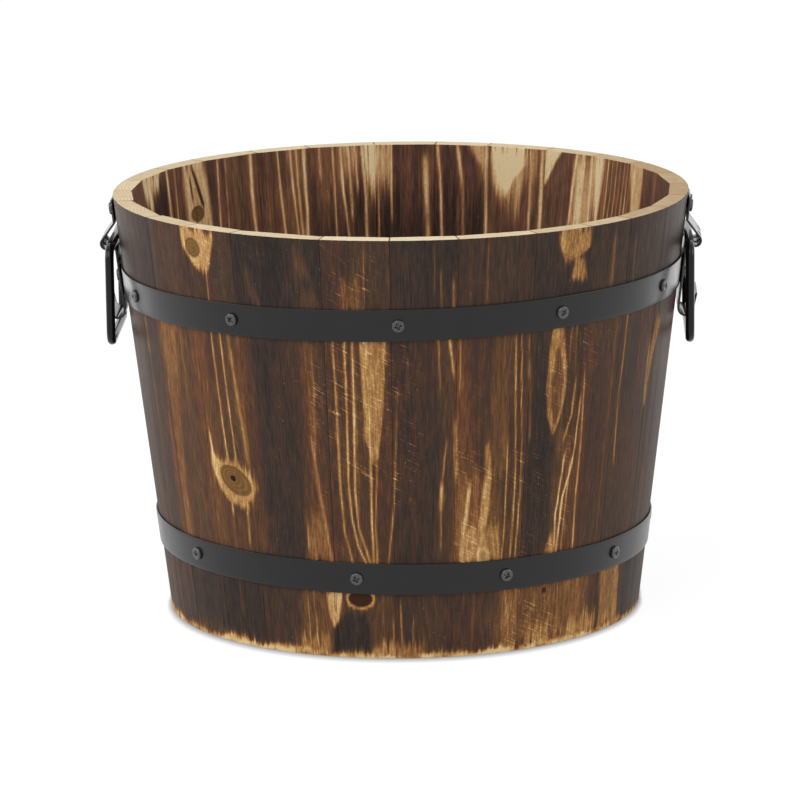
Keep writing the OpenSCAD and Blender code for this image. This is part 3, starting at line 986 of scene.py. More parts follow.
OUTSIDE_PATCHES = (
    Patch(((-136.3, 295), (-135.9, 279), (-133.6, 268), (-130.8, 260)),
          ((-127.2, 295), (-127.4, 287), (-128.6, 270), (-129.8, 260)), 0.95),
    Patch(((-134.2, 138), (-134.4, 126), (-132.8, 113), (-130.4, 103), (-128.9, 100)),
          ((-133.7, 138), (-132.4, 132), (-129.5, 127), (-127.5, 114), (-124.8, 106), (-124.2, 100)), 0.74,
          flame=3),
    Patch(((-108.6, 103), (-110.8, 66)), ((-106.6, 103), (-104.3, 66)), 0.36, feather=1.8),
    Patch(((-96.9, 228), (-96.6, 183), (-96.3, 155), (-94.4, 136)),
          ((-91.3, 228), (-92.4, 174), (-93.6, 141), (-94, 136)), 0.66, feather=0.6),
    Patch(((-56.6, 230), (-57.3, 205), (-57.6, 184), (-57, 165), (-55.1, 150)),
          ((-54, 230), (-52.6, 198), (-52.6, 178), (-53.5, 162), (-54.9, 150)), 0.72,
          feather=0.6, flame=1),
    Patch(((-55.5, 211), (-56.5, 190), (-56, 170), (-54.9, 158)),
          ((-54.7, 211), (-53.4, 190), (-53.6, 170), (-54.6, 158)), 0.8, Effect.WARM, flame=1, feather=0.8,
          clears=True),
    Patch(((-54.2, 79), (-55.8, 64)), ((-53.2, 79), (-52.4, 64)), 0.65),
    Patch(((-149.5, 226), (-148.2, 186), (-149.6, 149), (-150.8, 112), (-150.1, 66)),
          ((-141, 226), (-142.8, 177), (-144, 140), (-145, 103), (-145, 66)), 0.30, feather=3.5),
    Patch(((-71.2, 152), (-70.9, 130), (-71.6, 106), (-72.3, 88)),
          ((-70, 152), (-69.4, 130), (-69.6, 106), (-70.3, 88)), 0.58, feather=0.8, flame=3),
    Patch(((-75.8, 92), (-76.6, 64)), ((-67.2, 90), (-66.4, 64)), 0.42, feather=1.4, flame=4),
    Patch(((-22.6, 216), (-24.3, 190), (-24.9, 172), (-24.4, 152)),
          ((-19.5, 216), (-21.8, 192), (-23.2, 174), (-23.8, 152)), 0.62, feather=1, flame=3),
    Patch(((-96.5, 9), (-97.5, 0)), ((-84, 7), (-83, 0)), 0.7, feather=5, flame=5),
    Patch(((-56.7, 295), (-56.4, 284), (-54.9, 271)), ((-48.4, 295), (-48.6, 279), (-52.4, 270)), 0.9),
    Patch(((-52.4, 273), (-53, 258)), ((-50.2, 273), (-48.8, 257)), 0.84, flame=2),
    Patch(((-106.5, 50), (-105.3, 22)), ((-102.2, 50), (-103.7, 22)), 1),
    Patch(((-36.8, 52), (-35.3, 0)), ((-28.4, 52), (-27.6, 25), (-26.4, 0)), 0.55, feather=2),
    Patch(((-30.6, 52), (-29.4, 0)), ((-28.6, 52), (-27.6, 25), (-26.6, 0)), 0.72, feather=1),
    Patch(((-60, 14), (-61, 0)), ((-28, 16), (-26, 0)), 0.80, feather=6, flame=8),
    Patch(((-66, 50), (-66, 0)), ((-41, 50), (-40, 0)), 0.42, feather=6, flame=6),
    Patch(((-114, 12), (-115, 0)), ((-105, 16), (-105, 0)), 0.72, feather=5, flame=7),
    Patch(((-112.5, 50), (-112.5, 0)), ((-103, 50), (-105.5, 0)), 0.34, feather=4),
    Patch(((-101.6, 33), (-104.8, 20), (-105, 4)), ((-97.4, 33), (-96.2, 20), (-96, 4)), 0.85,
          Effect.CHARRED, feather=2, clears=True),
    Patch(((-119.5, 295), (-119, 66)), ((-112.5, 295), (-112, 66)), 0.25, Effect.CHARRED, feather=6),
    Patch(((-91, 225), (-88, 66)), ((-83, 225), (-82, 66)), 0.2, Effect.CHARRED, feather=6),
    Patch(((-61, 225), (-61, 66)), ((-57.9, 225), (-54, 66)), 0.5, Effect.CHARRED, feather=4),
    Patch(((-26, 50), (-25.5, 0)), ((-12, 50), (-12, 0)), 0.4, Effect.CHARRED, feather=2),
    Patch(((-158, 50), (-158, 6)), ((-113, 50), (-113, 6)), 0.7, Effect.CHARRED, feather=5),
    Patch(((-120.6, 268), (-120, 252), (-118.6, 242)), ((-119, 268), (-117.8, 252), (-116.4, 242)), 0.36,
          feather=1.6),
    Patch(((-109.8, 286), (-109.4, 264)), ((-107.6, 286), (-106, 264)), 0.34, feather=1.6),
    Patch(((-108.4, 260), (-108, 242)), ((-105.6, 260), (-104, 242)), 0.34, feather=1.6),
    Patch(((-100.4, 266), (-100.2, 240)), ((-96.4, 266), (-96.2, 240)), 0.40, feather=1.6, flame=6),
    Patch(((-122, 291), (-122, 272)), ((-113, 291), (-113, 272)), 1, Effect.SCUFFED, 3, 4),
    Patch(((-130, 291), (-130, 240)), ((-125, 291), (-125, 240)), 1, Effect.SCUFFED, 3, 4),
    Patch(((-104, 291), (-104, 246)), ((-92, 291), (-92, 246)), 0.8, Effect.SCUFFED, 3, 4),
    Patch(((-136.5, 225), (-136, 66)), ((-132, 225), (-132, 66)), 0.7, Effect.WARM, feather=3),
    Patch(((-124, 225), (-123, 66)), ((-120.5, 225), (-119.5, 66)), 0.7, Effect.WARM, feather=2.5),
    Patch(((-109.5, 225), (-110, 66)), ((-104.5, 225), (-104, 66)), 0.9, Effect.WARM, feather=3),
    Patch(((-83, 225), (-78, 120)), ((-76.5, 225), (-71.5, 66)), 0.8, Effect.WARM, feather=5),
    Patch(((-77.5, 130), (-78, 66)), ((-68, 130), (-66, 66)), 0.9, Effect.WARM, feather=4),
    Patch(((-69.5, 225), (-69.5, 130)), ((-65.5, 225), (-65.5, 130)), 0.9, Effect.WARM, feather=4),
    Patch(((-54, 150), (-54, 66)), ((-46, 150), (-46.5, 66)), 0.9, Effect.WARM, feather=4),
    Patch(((-108, 228), (-108, 110)), ((-84, 228), (-82, 110)), 1, Effect.SCUFFED, 8, 12),
    Patch(((-90, 150), (-90, 60)), ((-46, 150), (-44, 60)), 0.8, Effect.SCUFFED, 8, 12),
    Patch(((-66, 40), (-66, 2)), ((-50, 40), (-50, 2)), 0.9, Effect.SCUFFED, 8, 6),
    Patch(((-58, 228), (-58, 140)), ((-44, 228), (-44, 140)), 0.7, Effect.SCUFFED, 8, 12),
    Patch(((24, 295), (25.5, 262)), ((30, 295), (27.5, 257)), 0.8),
    Patch(((38, 226), (37.2, 170), (38.4, 128)),
          ((42.6, 226), (41, 175), (39.2, 128)), 0.66, feather=0.8),
    Patch(((64, 150), (62.8, 66)), ((66.6, 150), (68.4, 66)), 0.5, feather=2, flame=9),
    Patch(((76, 48), (75.4, 0)), ((81, 48), (82, 0)), 0.6, feather=2.5, flame=7),
    Patch(((100.5, 295), (101.5, 266)), ((106.6, 295), (104.5, 260)), 0.8),
    Patch(((118.4, 226), (117.4, 150), (118.2, 96)),
          ((122, 226), (121.4, 150), (119.4, 96)), 0.6, feather=1),
    Patch(((134, 46), (133, 0)), ((139.6, 46), (140.4, 0)), 0.55, feather=3, flame=8),
    Patch(((158.6, 150), (157.6, 66)), ((162, 150), (164.6, 66)), 0.55, feather=2, flame=10),
    Patch(((184, 295), (185, 264)), ((189.5, 295), (187.5, 258)), 0.75),
    Patch(((30, 226), (30, 66)), ((48, 226), (48, 66)), 0.8, Effect.SCUFFED, 8, 12),
    Patch(((112, 226), (112, 66)), ((160, 226), (160, 66)), 0.8, Effect.SCUFFED, 8, 12),
)

OUTSIDE_KNOTS = (
    Knot(-133, 279.2, 7.8, 6.8, tilt=-35, halo=0.2, disc=0.72),
    Knot(-127.6, 118.2, 15.4, 9.6, tilt=-26, halo=0.21, pith=(-0.2, 0.08)),
    Knot(-70.7, 70, 4.2, 4.6, halo=0.30, disc=0.08),
    Knot(-98.4, 42.6, 9, 6.4, halo=0.14, disc=0.7, soot=0.42),
    Knot(-54.5, 40.3, 2.4, 2, halo=0.3, soot=0.42),
    Knot(52, 148, 8, 10.5, tilt=15),
    Knot(108, 92, 6, 8, tilt=-10),
    Knot(146, 205, 10, 13, tilt=20),
    Knot(172, 120, 4, 5),
)

INSIDE_STREAKS = (
    Streak(((154.7, 294), (155.2, 235)), 2, 0.77),
    Streak(((151.8, 294), (152.6, 240)), 1.6, 0.39),
    Streak(((136.9, 294), (137.8, 230)), 1.5, 0.65),
    Streak(((134.6, 294), (135.2, 240)), 1.2, 0.43),
    Streak(((127.3, 294), (127.6, 266), (127.2, 220)), 2.8, 0.73),
    Streak(((120.5, 294), (119.7, 215)), 1.6, 0.73),
    Streak(((117.4, 294), (116.4, 222)), 1.5, 0.53),
    Streak(((115.9, 294), (115.3, 222)), 1.5, 0.53),
    Streak(((114, 294), (113.9, 247), (114.5, 215)), 2.4, 0.73),
    Streak(((110.5, 294), (110.4, 272)), 1.4, 0.56),
    Streak(((107.4, 294), (107, 215)), 1.2, 0.65),
    Streak(((105.6, 294), (105.3, 264), (103.8, 215)), 1.6, 0.76),
    Streak(((103.9, 294), (103.2, 240)), 2, 0.71),
    Streak(((102.3, 294), (101.8, 262)), 1.5, 0.65),
    Streak(((100.7, 294), (100, 255), (99.8, 200)), 2.2, 0.86),
    Streak(((96.6, 294), (97.1, 210)), 1.4, 0.77),
    Streak(((93.7, 294), (93.9, 238)), 1.4, 0.77),
    Streak(((86.1, 284), (85.7, 248), (85.4, 205)), 3.6, 0.77),
    Streak(((83.5, 294), (82.8, 265), (82, 205)), 2.1, 0.77),
    Streak(((79, 294), (77.6, 266), (77.1, 205)), 2.6, 0.73),
    Streak(((72.1, 294), (72.1, 265), (71.9, 205)), 2, 0.86),
    Streak(((61.3, 294), (60.9, 215)), 1.9, 0.77),
    Streak(((58.4, 294), (58.4, 273), (58.2, 251), (58.2, 215)), 2.8, 0.86),
    Streak(((48.6, 294), (49.9, 225)), 2.8, 0.84),
    Streak(((44.4, 294), (44, 225)), 2.6, 0.84),
    Streak(((38.5, 294), (38.8, 240)), 0.9, 0.52),
    Streak(((37, 294), (37.3, 240)), 0.9, 0.47),
    Streak(((35.5, 294), (35.9, 240)), 0.9, 0.52),
    Streak(((34.2, 294), (34.6, 240)), 0.9, 0.47),
    Streak(((32.8, 294), (33.2, 240)), 0.9, 0.52),
    Streak(((31.6, 294), (32, 240)), 0.9, 0.43),
)

INSIDE_PATCHES = (
    Patch(((168.4, 300), (166.3, 270)), ((157.5, 300), (161, 272)), 0.9, feather=2.5, flame=12),
    Patch(((163.6, 282), (163.4, 225)), ((155.8, 282), (156.2, 225)), 0.9, Effect.CHARRED,
          feather=1.6, flame=10, clears=True),
    Patch(((148.6, 300), (149.2, 238)), ((140.3, 300), (140, 236)), 0.66, feather=3, flame=14),
    Patch(((145.9, 290), (143.4, 263)), ((145.1, 290), (142.4, 263)), 0.9, Effect.CHARRED,
          feather=0.9, clears=True),
    Patch(((147, 284), (146.6, 266)), ((146.4, 284), (146, 266)), 0.8, Effect.CHARRED,
          feather=0.9, clears=True),
    Patch(((118.8, 300), (118.2, 225)), ((114.2, 300), (114.6, 225)), 0.5, Effect.WARM),
    Patch(((106, 300), (105, 276)), ((100, 300), (100, 276)), 0.42, feather=5, flame=14),
    Patch(((100.5, 300), (99.6, 262)), ((96.6, 300), (97.1, 262)), 1, feather=2, flame=16),
    Patch(((97, 300), (97.1, 262)), ((93.8, 300), (93.9, 262)), 0.55, feather=2, flame=14),
    Patch(((77.8, 300), (73.5, 278)), ((72, 300), (72, 272)), 0.62, flame=10, feather=4),
    Patch(((71.9, 300), (69.5, 254)), ((61.2, 300), (62.4, 280), (64.8, 271), (67.4, 254)), 1,
          feather=4, flame=14),
    Patch(((71.9, 300), (70.5, 262)), ((58.4, 300), (60.4, 262)), 0.5, feather=4, flame=16),
    Patch(((57.8, 300), (57.4, 268)), ((51.6, 300), (54.4, 286), (57, 268)), 0.8, feather=1.6, flame=2),
    Patch(((48.6, 300), (49.6, 230)), ((42.5, 300), (43.4, 230)), 0.5, feather=3, flame=14),
    Patch(((47.8, 300), (48.6, 230)), ((45.5, 300), (46.4, 230)), 0.75, feather=1.6, flame=14),
    Patch(((43.3, 300), (42.6, 252)), ((39.9, 300), (40.6, 262)), 0.75, feather=2.5, flame=12),
    Patch(((31, 300), (27.4, 240)), ((24, 300), (24.4, 240)), 0.62, feather=2.5, flame=8),
    # Painted shade: this broad soft patch darkens the far inside wall, deep in the barrel, from below the rim
    # down
    Patch(((122, 258), (124, 120)), ((60, 258), (58, 120)), 0.5, Effect.CHARRED,
          feather=22, flame=16),
)

INSIDE_KNOTS = (
    Knot(145, 257, 9.4, 6.4, halo=0.12, disc=0.6, soot=0.03),
    Knot(-60, 150, 7, 8),
    Knot(-150, 220, 5, 6.5),
)


@dataclass
class WoodMarks:
    """Fields over one side of a stave: how bare, brown, black and knotted the wood is at each point.

    Each field starts even. A streak is a bell curve across its course. A patch is the product of two
    rises at its sides, and noise along the grain makes its ends flames. A knot is 1 at its middle and
    0 at its edge, and pushes the grain beside it aside.
    """

    degrees: np.ndarray
    z_mm: np.ndarray
    radius_mm: np.ndarray
    seed: int
    warmth: float
    bare: np.ndarray = field(init=False)
    warm: np.ndarray = field(init=False)
    soot: np.ndarray = field(init=False)
    scuff: np.ndarray = field(init=False)
    knot: np.ndarray = field(init=False)
    shift: np.ndarray = field(init=False)

    FIELDS = ("bare", "warm", "soot", "scuff", "knot", "shift")
    PLAIN_SCUFF = 0.25
    # Degrees beside a stave within which a mark may still reach it
    STREAK_REACH = 6.0
    PATCH_REACH = 10.0
    # Millimetres by which a unit of the wobble moves a mark's edge
    WOBBLE = 1.5
    # Width of a streak's bell curve as a share of its own, and millimetres over which its ends fade
    BELL = 0.62
    STREAK_FADE = (-7.0, 5.0)
    # Share of a mark's strength that darkens, blackens, browns or bares the wood
    CHAR_DARK = 0.8
    CHAR_SOOT = 0.3
    BROWN = 0.6
    HALO_BARE = 0.72

    def __post_init__(self) -> None:
        """Start the fields, and work out what all marks share."""
        self.bare, self.soot, self.knot, self.shift = (np.zeros_like(self.z_mm) for _ in range(4))
        self.warm = np.full_like(self.z_mm, self.warmth)
        self.scuff = np.full_like(self.z_mm, self.PLAIN_SCUFF)
        self.middle = math.degrees(mean_direction(np.radians(self.degrees)))
        self.here = turned(self.degrees, self.middle)
        self.half_width = np.abs(self.here).max()
        self.to_mm = self.radius_mm * math.pi / 180
        across = self.here * self.to_mm
        slow = noise(across / 60, self.z_mm / 45, self.seed)
        quick = noise(across / 40, self.z_mm / 5, self.seed + 2)
        self.wobble = (slow - 0.5 + 0.12 * quick - 0.06) * self.WOBBLE
        self.ragged = noise(across / 1.6, self.z_mm / 60, self.seed + 1) - 0.5

    def lay(self, streaks: tuple[Streak, ...], patches: tuple[Patch, ...], knots: tuple[Knot, ...]) -> None:
        """Lay the marks that are near enough to the stave, in their order.

        Args:
            streaks: Bare lines.
            patches: Bare, black, brown or scratched areas.
            knots: Knots.
        """
        for streak in streaks:
            if self._near(streak.course[-1][0], self.STREAK_REACH):
                self._lay_streak(streak)
        for patch in patches:
            if self._near((patch.left[-1][0] + patch.right[-1][0]) / 2, self.PATCH_REACH):
                self._lay_patch(patch)
        for knot in knots:
            if self._near(knot.direction, self.STREAK_REACH):
                self._lay_knot(knot, turned(self.degrees, knot.direction) * self.to_mm)

    def _near(self, direction: float, reach: float) -> bool:
        """Whether a direction lies within a number of degrees of the stave."""
        return abs(turned(direction, self.middle)) <= self.half_width + reach

    def _along(self, course: np.ndarray) -> np.ndarray:
        """Where a course, given from its foot, runs at the height of each point, from the stave's middle."""
        return np.interp(self.z_mm, course[:, 1], turned(course[:, 0], self.middle))

    def _lay_streak(self, streak: Streak) -> None:
        """Add one bare line where it is stronger than what is there.

        Args:
            streak: The line.
        """
        course = np.array(streak.course[::-1])
        away = (self.here - self._along(course)) * self.to_mm + self.wobble
        ends = plateau(self.STREAK_FADE, self.z_mm - course[0, 1], course[-1, 1] - self.z_mm)
        bell = np.exp(-(away / (streak.width * self.BELL)) ** 2)
        place = np.full_like(self.z_mm, streak.course[0][0] * 3.1)
        pulse = 0.78 + 0.44 * noise(self.z_mm / 24, place, Seed.PULSE)
        self.bare = np.maximum(self.bare, streak.strength * bell * ends * pulse)

    def _lay_patch(self, patch: Patch) -> None:
        """Add one patch of bare, black, brown or scratched wood.

        Args:
            patch: The patch.
        """
        left, right = np.array(patch.left[::-1]), np.array(patch.right[::-1])
        sides = sorted((left, right), key=lambda course: turned(course[:, 0], self.middle).mean())
        first, last = (self._along(course) for course in sides)
        inside = plateau((-patch.feather, patch.feather), (self.here - first) * self.to_mm + self.wobble,
                         (last - self.here) * self.to_mm - self.wobble)
        low, high = min(left[0, 1], right[0, 1]), max(left[-1, 1], right[-1, 1])
        flames = self.ragged * 2.5 * patch.flame
        ends = plateau((-patch.flame, patch.flame), self.z_mm - low + flames, high - self.z_mm + flames)
        mask = patch.strength * inside * ends
        if patch.clears:
            self.bare *= 1 - mask
        if patch.effect is Effect.BARE:
            self.bare = np.maximum(self.bare, mask)
        elif patch.effect is Effect.CHARRED:
            self.warm -= mask * self.CHAR_DARK
            self.soot = np.maximum(self.soot, mask * self.CHAR_SOOT)
        elif patch.effect is Effect.SCUFFED:
            self.scuff = np.maximum(self.scuff, mask)
        else:
            self.warm += mask * self.BROWN

    def _lay_knot(self, knot: Knot, x_mm: np.ndarray) -> None:
        """Add one knot with its halo of spikes, and bend the grain round it.

        Args:
            knot: The knot.
            x_mm: Distance of each point from the knot's middle, round the barrel.
        """
        turn = math.radians(knot.tilt)
        up_mm = self.z_mm - knot.height
        along = (x_mm * math.cos(turn) + up_mm * math.sin(turn)) / knot.across
        over = (up_mm * math.cos(turn) - x_mm * math.sin(turn)) / knot.up
        q = np.hypot(along, over)
        inner = np.clip(1 - q, 0, 1)
        from_pith = np.hypot(along - knot.pith[0] * inner, over - knot.pith[1] * inner)
        self.knot = np.maximum(self.knot, knot.disc * np.clip(1.0 - from_pith, 0, 1) * (inner > 0))
        spike = noise(x_mm / 1.1, self.z_mm / 26, Seed.SPIKES) * np.clip(np.abs(over), 0, 1.5)
        reach = knot.halo * (0.5 + 1.5 * spike)
        halo = smoothstep(1 + reach * 2.2, 1 + reach * 0.5, q)
        self.bare = np.maximum(self.bare, halo * self.HALO_BARE)
        self.soot = np.maximum(self.soot, knot.soot * (inner > 0))
        width = max(knot.across, knot.up)
        self.shift -= (x_mm / np.hypot(x_mm, width * 0.5) * width * 0.8
                       * np.exp(-(up_mm / (width * 2.4)) ** 2) * np.exp(-np.abs(x_mm) / (width * 1.8)))


# ---------- Staves ----------


@dataclass
class Stave:
    """One stave: a plank with a round face, a flat back, eased arrises and a floor groove.

    Its points are arrays over the surface of a box, and a point's share is 0 on the face and 1 on the
    back. All staves have the same number of steps, so they share the box's lattice.
    """

    number: int
    shape: BarrelShape
    finishes: Finishes
    lattice: Lattice
    across_steps: int = 52
    deep_steps: int = 4
    up_steps: int = 150
    arris: float = 0.45 * MM
    seam_gap: float = 0.08 * MM
    groove_low: float = 24.0 * MM
    groove_high: float = 36.4 * MM
    groove_depth: float = 5.0 * MM
    joint_stain: float = 0.5 * MM
    relief_limit: float = 0.45 * MM
    # Millimetres up to the upper hoop, and degrees from a seam to the nearest random streak
    top_hoop_low: float = 244.0
    streak_inset: float = 0.6
    # Sine of the directions, from the front, whose marks are listed
    measured_sine: float = 0.17

    # How brown each stave is, from charcoal at 0 to reddish brown at 1
    OUTSIDE_WARMTH = (0.4, 0.2, 0.6, 0.35, 0.7, 0.2, 0.5, 0.8, 0.3, 0.55, 0.25, 0.6, 0.2,
                      0.15, 0.35, 0.8, 0.72, 0.25, 0.68, 0.3, 0.6, 0.38, 0.5, 0.35, 0.25, 0.2)
    INSIDE_WARMTH = (0.3, 0.5, 0.7, 0.35, 0.25, 0.2, 0.3, 0.45, 0.35, 0.3, 0.45, 0.6, 0.4,
                     0.5, 0.7, 0.3, 0.6, 0.4, 0.7, 0.3, 0.5, 0.65, 0.4, 0.3, 0.6, 0.4)

    @classmethod
    def shared_lattice(cls) -> Lattice:
        """Surface of the box that every stave is bent from, with three close steps at each arris."""
        return box_shell(cls.across_steps + 6, cls.deep_steps + 6, cls.up_steps + 6)

    def __post_init__(self) -> None:
        """Bend the box's surface into a stave, still without relief.

        A point of the box (across, deep, up) goes to direction = first seam + share across, and to
        radius = outer radius - share deep times the distance to the flat back. Noise widens the
        rounding of the arrises here and there, as chips do. The rows beside an edge of the groove
        move onto it, so that the groove is square.
        """
        shape, nodes = self.shape, self.lattice[0]
        self.name = STAVE_NAMES[self.number]
        self.span = first, last = shape.span(self.name)
        self.middle = (first + last) / 2
        width_top = shape.rim_radius * (last - first) - self.seam_gap
        rows = edge_spread(shape.height, self.arris, self.up_steps)
        squared = rows.copy()
        low, high = (int(np.searchsorted(rows, edge)) for edge in (self.groove_low, self.groove_high))
        squared[low - 1:low + 1] = self.groove_low
        squared[high - 1:high + 1] = self.groove_high
        x = edge_spread(width_top, self.arris, self.across_steps)[nodes[:, 0]] / width_top
        deep = edge_spread(shape.wall, self.arris, self.deep_steps)[nodes[:, 1]] / shape.wall
        row = nodes[:, 2]
        self.z = z = rows[row]
        self.outer = shape.outer(z)
        width = self.outer * (last - first) - self.seam_gap
        flat_back = (self.outer - shape.wall) / np.cos((x - 0.5) * (last - first))
        thickness = self.outer - flat_back
        chip = (noise(x * 40, z * 160, Seed.CHIPS + self.number)
                * noise(x * 11, z * 35, Seed.CHIP_PLACES + self.number))
        radius = self.arris * (0.55 + 1.1 * chip)[:, None]
        size = np.stack([width, thickness, np.full_like(z, shape.height)], axis=1)
        box = round_arrises(np.stack([x * width, deep * thickness, z], axis=1), size, radius)
        self.direction = self.middle + (box[:, 0] / width - 0.5) * (width / self.outer)
        self.share = box[:, 1] / thickness
        self.eased_z = box[:, 2]
        self.squared_z = box[:, 2] + self.share * (squared[row] - z)
        groove_radius = shape.outer(self.groove_low) - shape.wall + self.groove_depth
        self.back = np.where((row >= low) & (row < high), groove_radius, flat_back)
        self.to_joint = np.minimum(x, 1 - x) * width
        self.across = (np.degrees(self.direction) - math.degrees(self.middle)) * math.pi / 180 * self.outer

    def build(self) -> None:
        """Make the stave's object, with its marks and its relief."""
        quads, side = self.lattice[1:]
        marks = self._marks()
        points = self._points(marks["knot"])
        is_back = self.share[quads].mean(axis=1) > 0.5
        slots = np.where(side >= 4, 2, is_back.astype(int))
        materials = [self.finishes.outside, self.finishes.inside, self.finishes.ends]
        made = quad_object(f"planter_{self.name}", points, quads, materials, slots, self._attributes(marks))
        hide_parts(self.name)
        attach(made, "barrel")
        LOG.info("%s: %d points, %.1f to %.1f degrees", made.name, len(points), *np.degrees(self.span))

    def _marks(self) -> dict[str, np.ndarray]:
        """Lay the marks of the face and of the back, and take each side's where it belongs.

        Returns:
            Each field by name.
        """
        where = np.degrees(self.direction), self.eased_z / MM, self.outer / MM
        seed = 10 * self.number
        outside = WoodMarks(*where, seed, self.OUTSIDE_WARMTH[self.number])
        inside = WoodMarks(*where, seed + 5, self.INSIDE_WARMTH[self.number])
        outside.lay(OUTSIDE_STREAKS + self._random_streaks(False), OUTSIDE_PATCHES, OUTSIDE_KNOTS)
        inside.lay(INSIDE_STREAKS + self._random_streaks(True), INSIDE_PATCHES, INSIDE_KNOTS)
        self._wear(outside)
        return {label: np.where(self.share < 0.5, getattr(outside, label), getattr(inside, label))
                for label in WoodMarks.FIELDS}

    def _random_streaks(self, inside: bool) -> tuple[Streak, ...]:
        """Bare lines that chance leaves on a side of the stave, few and weak where others are listed.

        Args:
            inside: Whether the side is the back.

        Returns:
            The lines.
        """
        rng = np.random.default_rng((Seed.STREAKS_INSIDE if inside else Seed.STREAKS) + self.number)
        first, last = np.degrees(self.span)
        measured_side = (math.sin(math.radians((first + last) / 2)) < self.measured_sine) != inside
        count = rng.integers(0, 2) if measured_side else rng.integers(4, 9)
        made = []
        for _ in range(count):
            place = rng.uniform(first + self.streak_inset, last - self.streak_inset)
            top = rng.uniform(120, 300)
            bottom = top - rng.uniform(60, 240)
            lean = rng.normal(0, 0.5)
            strength = rng.uniform(0.15, 0.3) if measured_side else rng.uniform(0.4, 1.0)
            bend = rng.normal(0, 0.25)
            course = ((place, top), (place + lean / 2 + bend, (top + bottom) / 2), (place + lean, bottom))
            made.append(Streak(course, rng.uniform(1.0, 2.6), strength))
        return tuple(made)

    def _wear(self, marks: WoodMarks) -> None:
        """Deepen the char above the upper hoop, and wear it off along the base in an uneven band.

        Args:
            marks: The marks of the stave's face.
        """
        degrees, z_mm = marks.degrees, marks.z_mm
        marks.warm -= 0.40 * smoothstep(self.top_hoop_low - 4, self.top_hoop_low + 4, z_mm)
        broad = noise(degrees / 5, degrees * 0, Seed.WEAR_BROAD)
        narrow = noise(degrees * 1.4, degrees * 0, Seed.WEAR_NARROW)
        band = 0.6 + 5.0 * broad ** 2 + 3.0 * narrow ** 2
        feather = 1.5 + 7.0 * noise(degrees * 2.6, z_mm / 30, Seed.WEAR_FEATHER) ** 2
        tone = 0.66 + 0.8 * noise(degrees / 2.2, z_mm / 6, Seed.WEAR_TONE)
        base = tone * (1 - smoothstep(band * 0.5, band + feather, z_mm))
        marks.bare = np.maximum(marks.bare, base)

    def _points(self, knot: np.ndarray) -> np.ndarray:
        """Points with the hollows and ripples that brushing leaves, fewer where a hard knot stands proud.

        Args:
            knot: How far inside a knot each point lies.

        Returns:
            One row of x, y, z for each point.
        """
        relief = (0.30 * noise(self.across * 210, self.z * 5, Seed.HOLLOWS + self.number)
                  + 0.12 * noise(self.across * 700, self.z * 14, Seed.RIPPLES + self.number)
                  - 0.25 * knot * (knot > 0)) * MM
        relief = np.clip(relief, 0, self.relief_limit)
        lean = np.where(self.share < 0.5, relief * (1 - self.share), -relief * self.share)
        r = self.outer - self.share * (self.outer - self.back) - lean
        return np.stack([r * np.cos(self.direction), r * np.sin(self.direction), self.squared_z], axis=1)

    def _attributes(self, marks: dict[str, np.ndarray]) -> dict[str, np.ndarray]:
        """What the materials read at each point.

        The board coordinates are the distance across, pushed aside by knots, and the height, set off
        by the stave's number. The year rings are distances from a pith outside the stave. The sawn
        ends have a random tone of each stave, plus painted shade that darkens them towards the
        handles, most towards the right one.

        Args:
            marks: The stave's fields.

        Returns:
            Each attribute by name.
        """
        rng = np.random.default_rng(Seed.PITH + self.number)
        pith = np.array([rng.uniform(-0.03, 0.03), rng.choice([-1, 1]) * rng.uniform(0.025, 0.07)])
        to_right = math.cos(self.middle)
        # Random tone of the stave's sawn ends, plus painted shade that darkens them towards the handles, most
        # on the right
        tone = rng.uniform(0, 0.3) + 1.15 * max(0.0, to_right - 0.3) + 0.4 * max(0.0, -to_right - 0.3)
        depth = np.full_like(self.z, 0.37 * self.number) + 0.2 * (self.share < 0.5)
        return {
            **{label: marks[label] for label in ("bare", "warm", "soot", "knot", "scuff")},
            "joint": np.exp(-(self.to_joint / self.joint_stain) ** 2),
            "board": np.stack([self.across + marks["shift"] * MM, self.z + 0.7 * self.number, depth], axis=1),
            "ring": np.hypot(self.across - pith[0], self.share * self.shape.wall - pith[1]),
            "tone": np.full_like(self.z, tone),
        }


# ---------- Floor ----------


@dataclass
class Floor:
    """Floor boards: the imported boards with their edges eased."""

    finishes: Finishes
    ease: float = 0.6 * MM
    same_point: float = 0.001 * MM
    same_face: float = 0.5
    eased_from: float = 35.0

    def build(self) -> None:
        """Build every board."""
        for name in BOARD_NAMES:
            self._board(name)

    def _board(self, name: str) -> None:
        """Copy one packed board, merge its loose triangles into faces and ease its edges.

        Args:
            name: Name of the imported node.
        """
        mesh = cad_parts[name].data.copy()
        work = bmesh.new()
        work.from_mesh(mesh)
        bmesh.ops.remove_doubles(work, verts=work.verts, dist=self.same_point)
        flat = math.radians(self.same_face)
        bmesh.ops.dissolve_limit(work, angle_limit=flat, verts=work.verts, edges=work.edges)
        bmesh.ops.recalc_face_normals(work, faces=work.faces)
        work.to_mesh(mesh)
        work.free()
        mesh.materials.clear()
        mesh.materials.append(self.finishes.boards)
        made = new_object(f"planter_{name}", mesh)
        bevel = add_bevel(made, "eased edges", self.ease, self.eased_from)
        bevel.harden_normals = True
        mesh.polygons.foreach_set("use_smooth", np.ones(len(mesh.polygons), bool))
        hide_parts(name)
        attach(made, "barrel")
        LOG.info("%s: eased by %.1f mm", made.name, self.ease / MM)


# ---------- Hoops and screws ----------


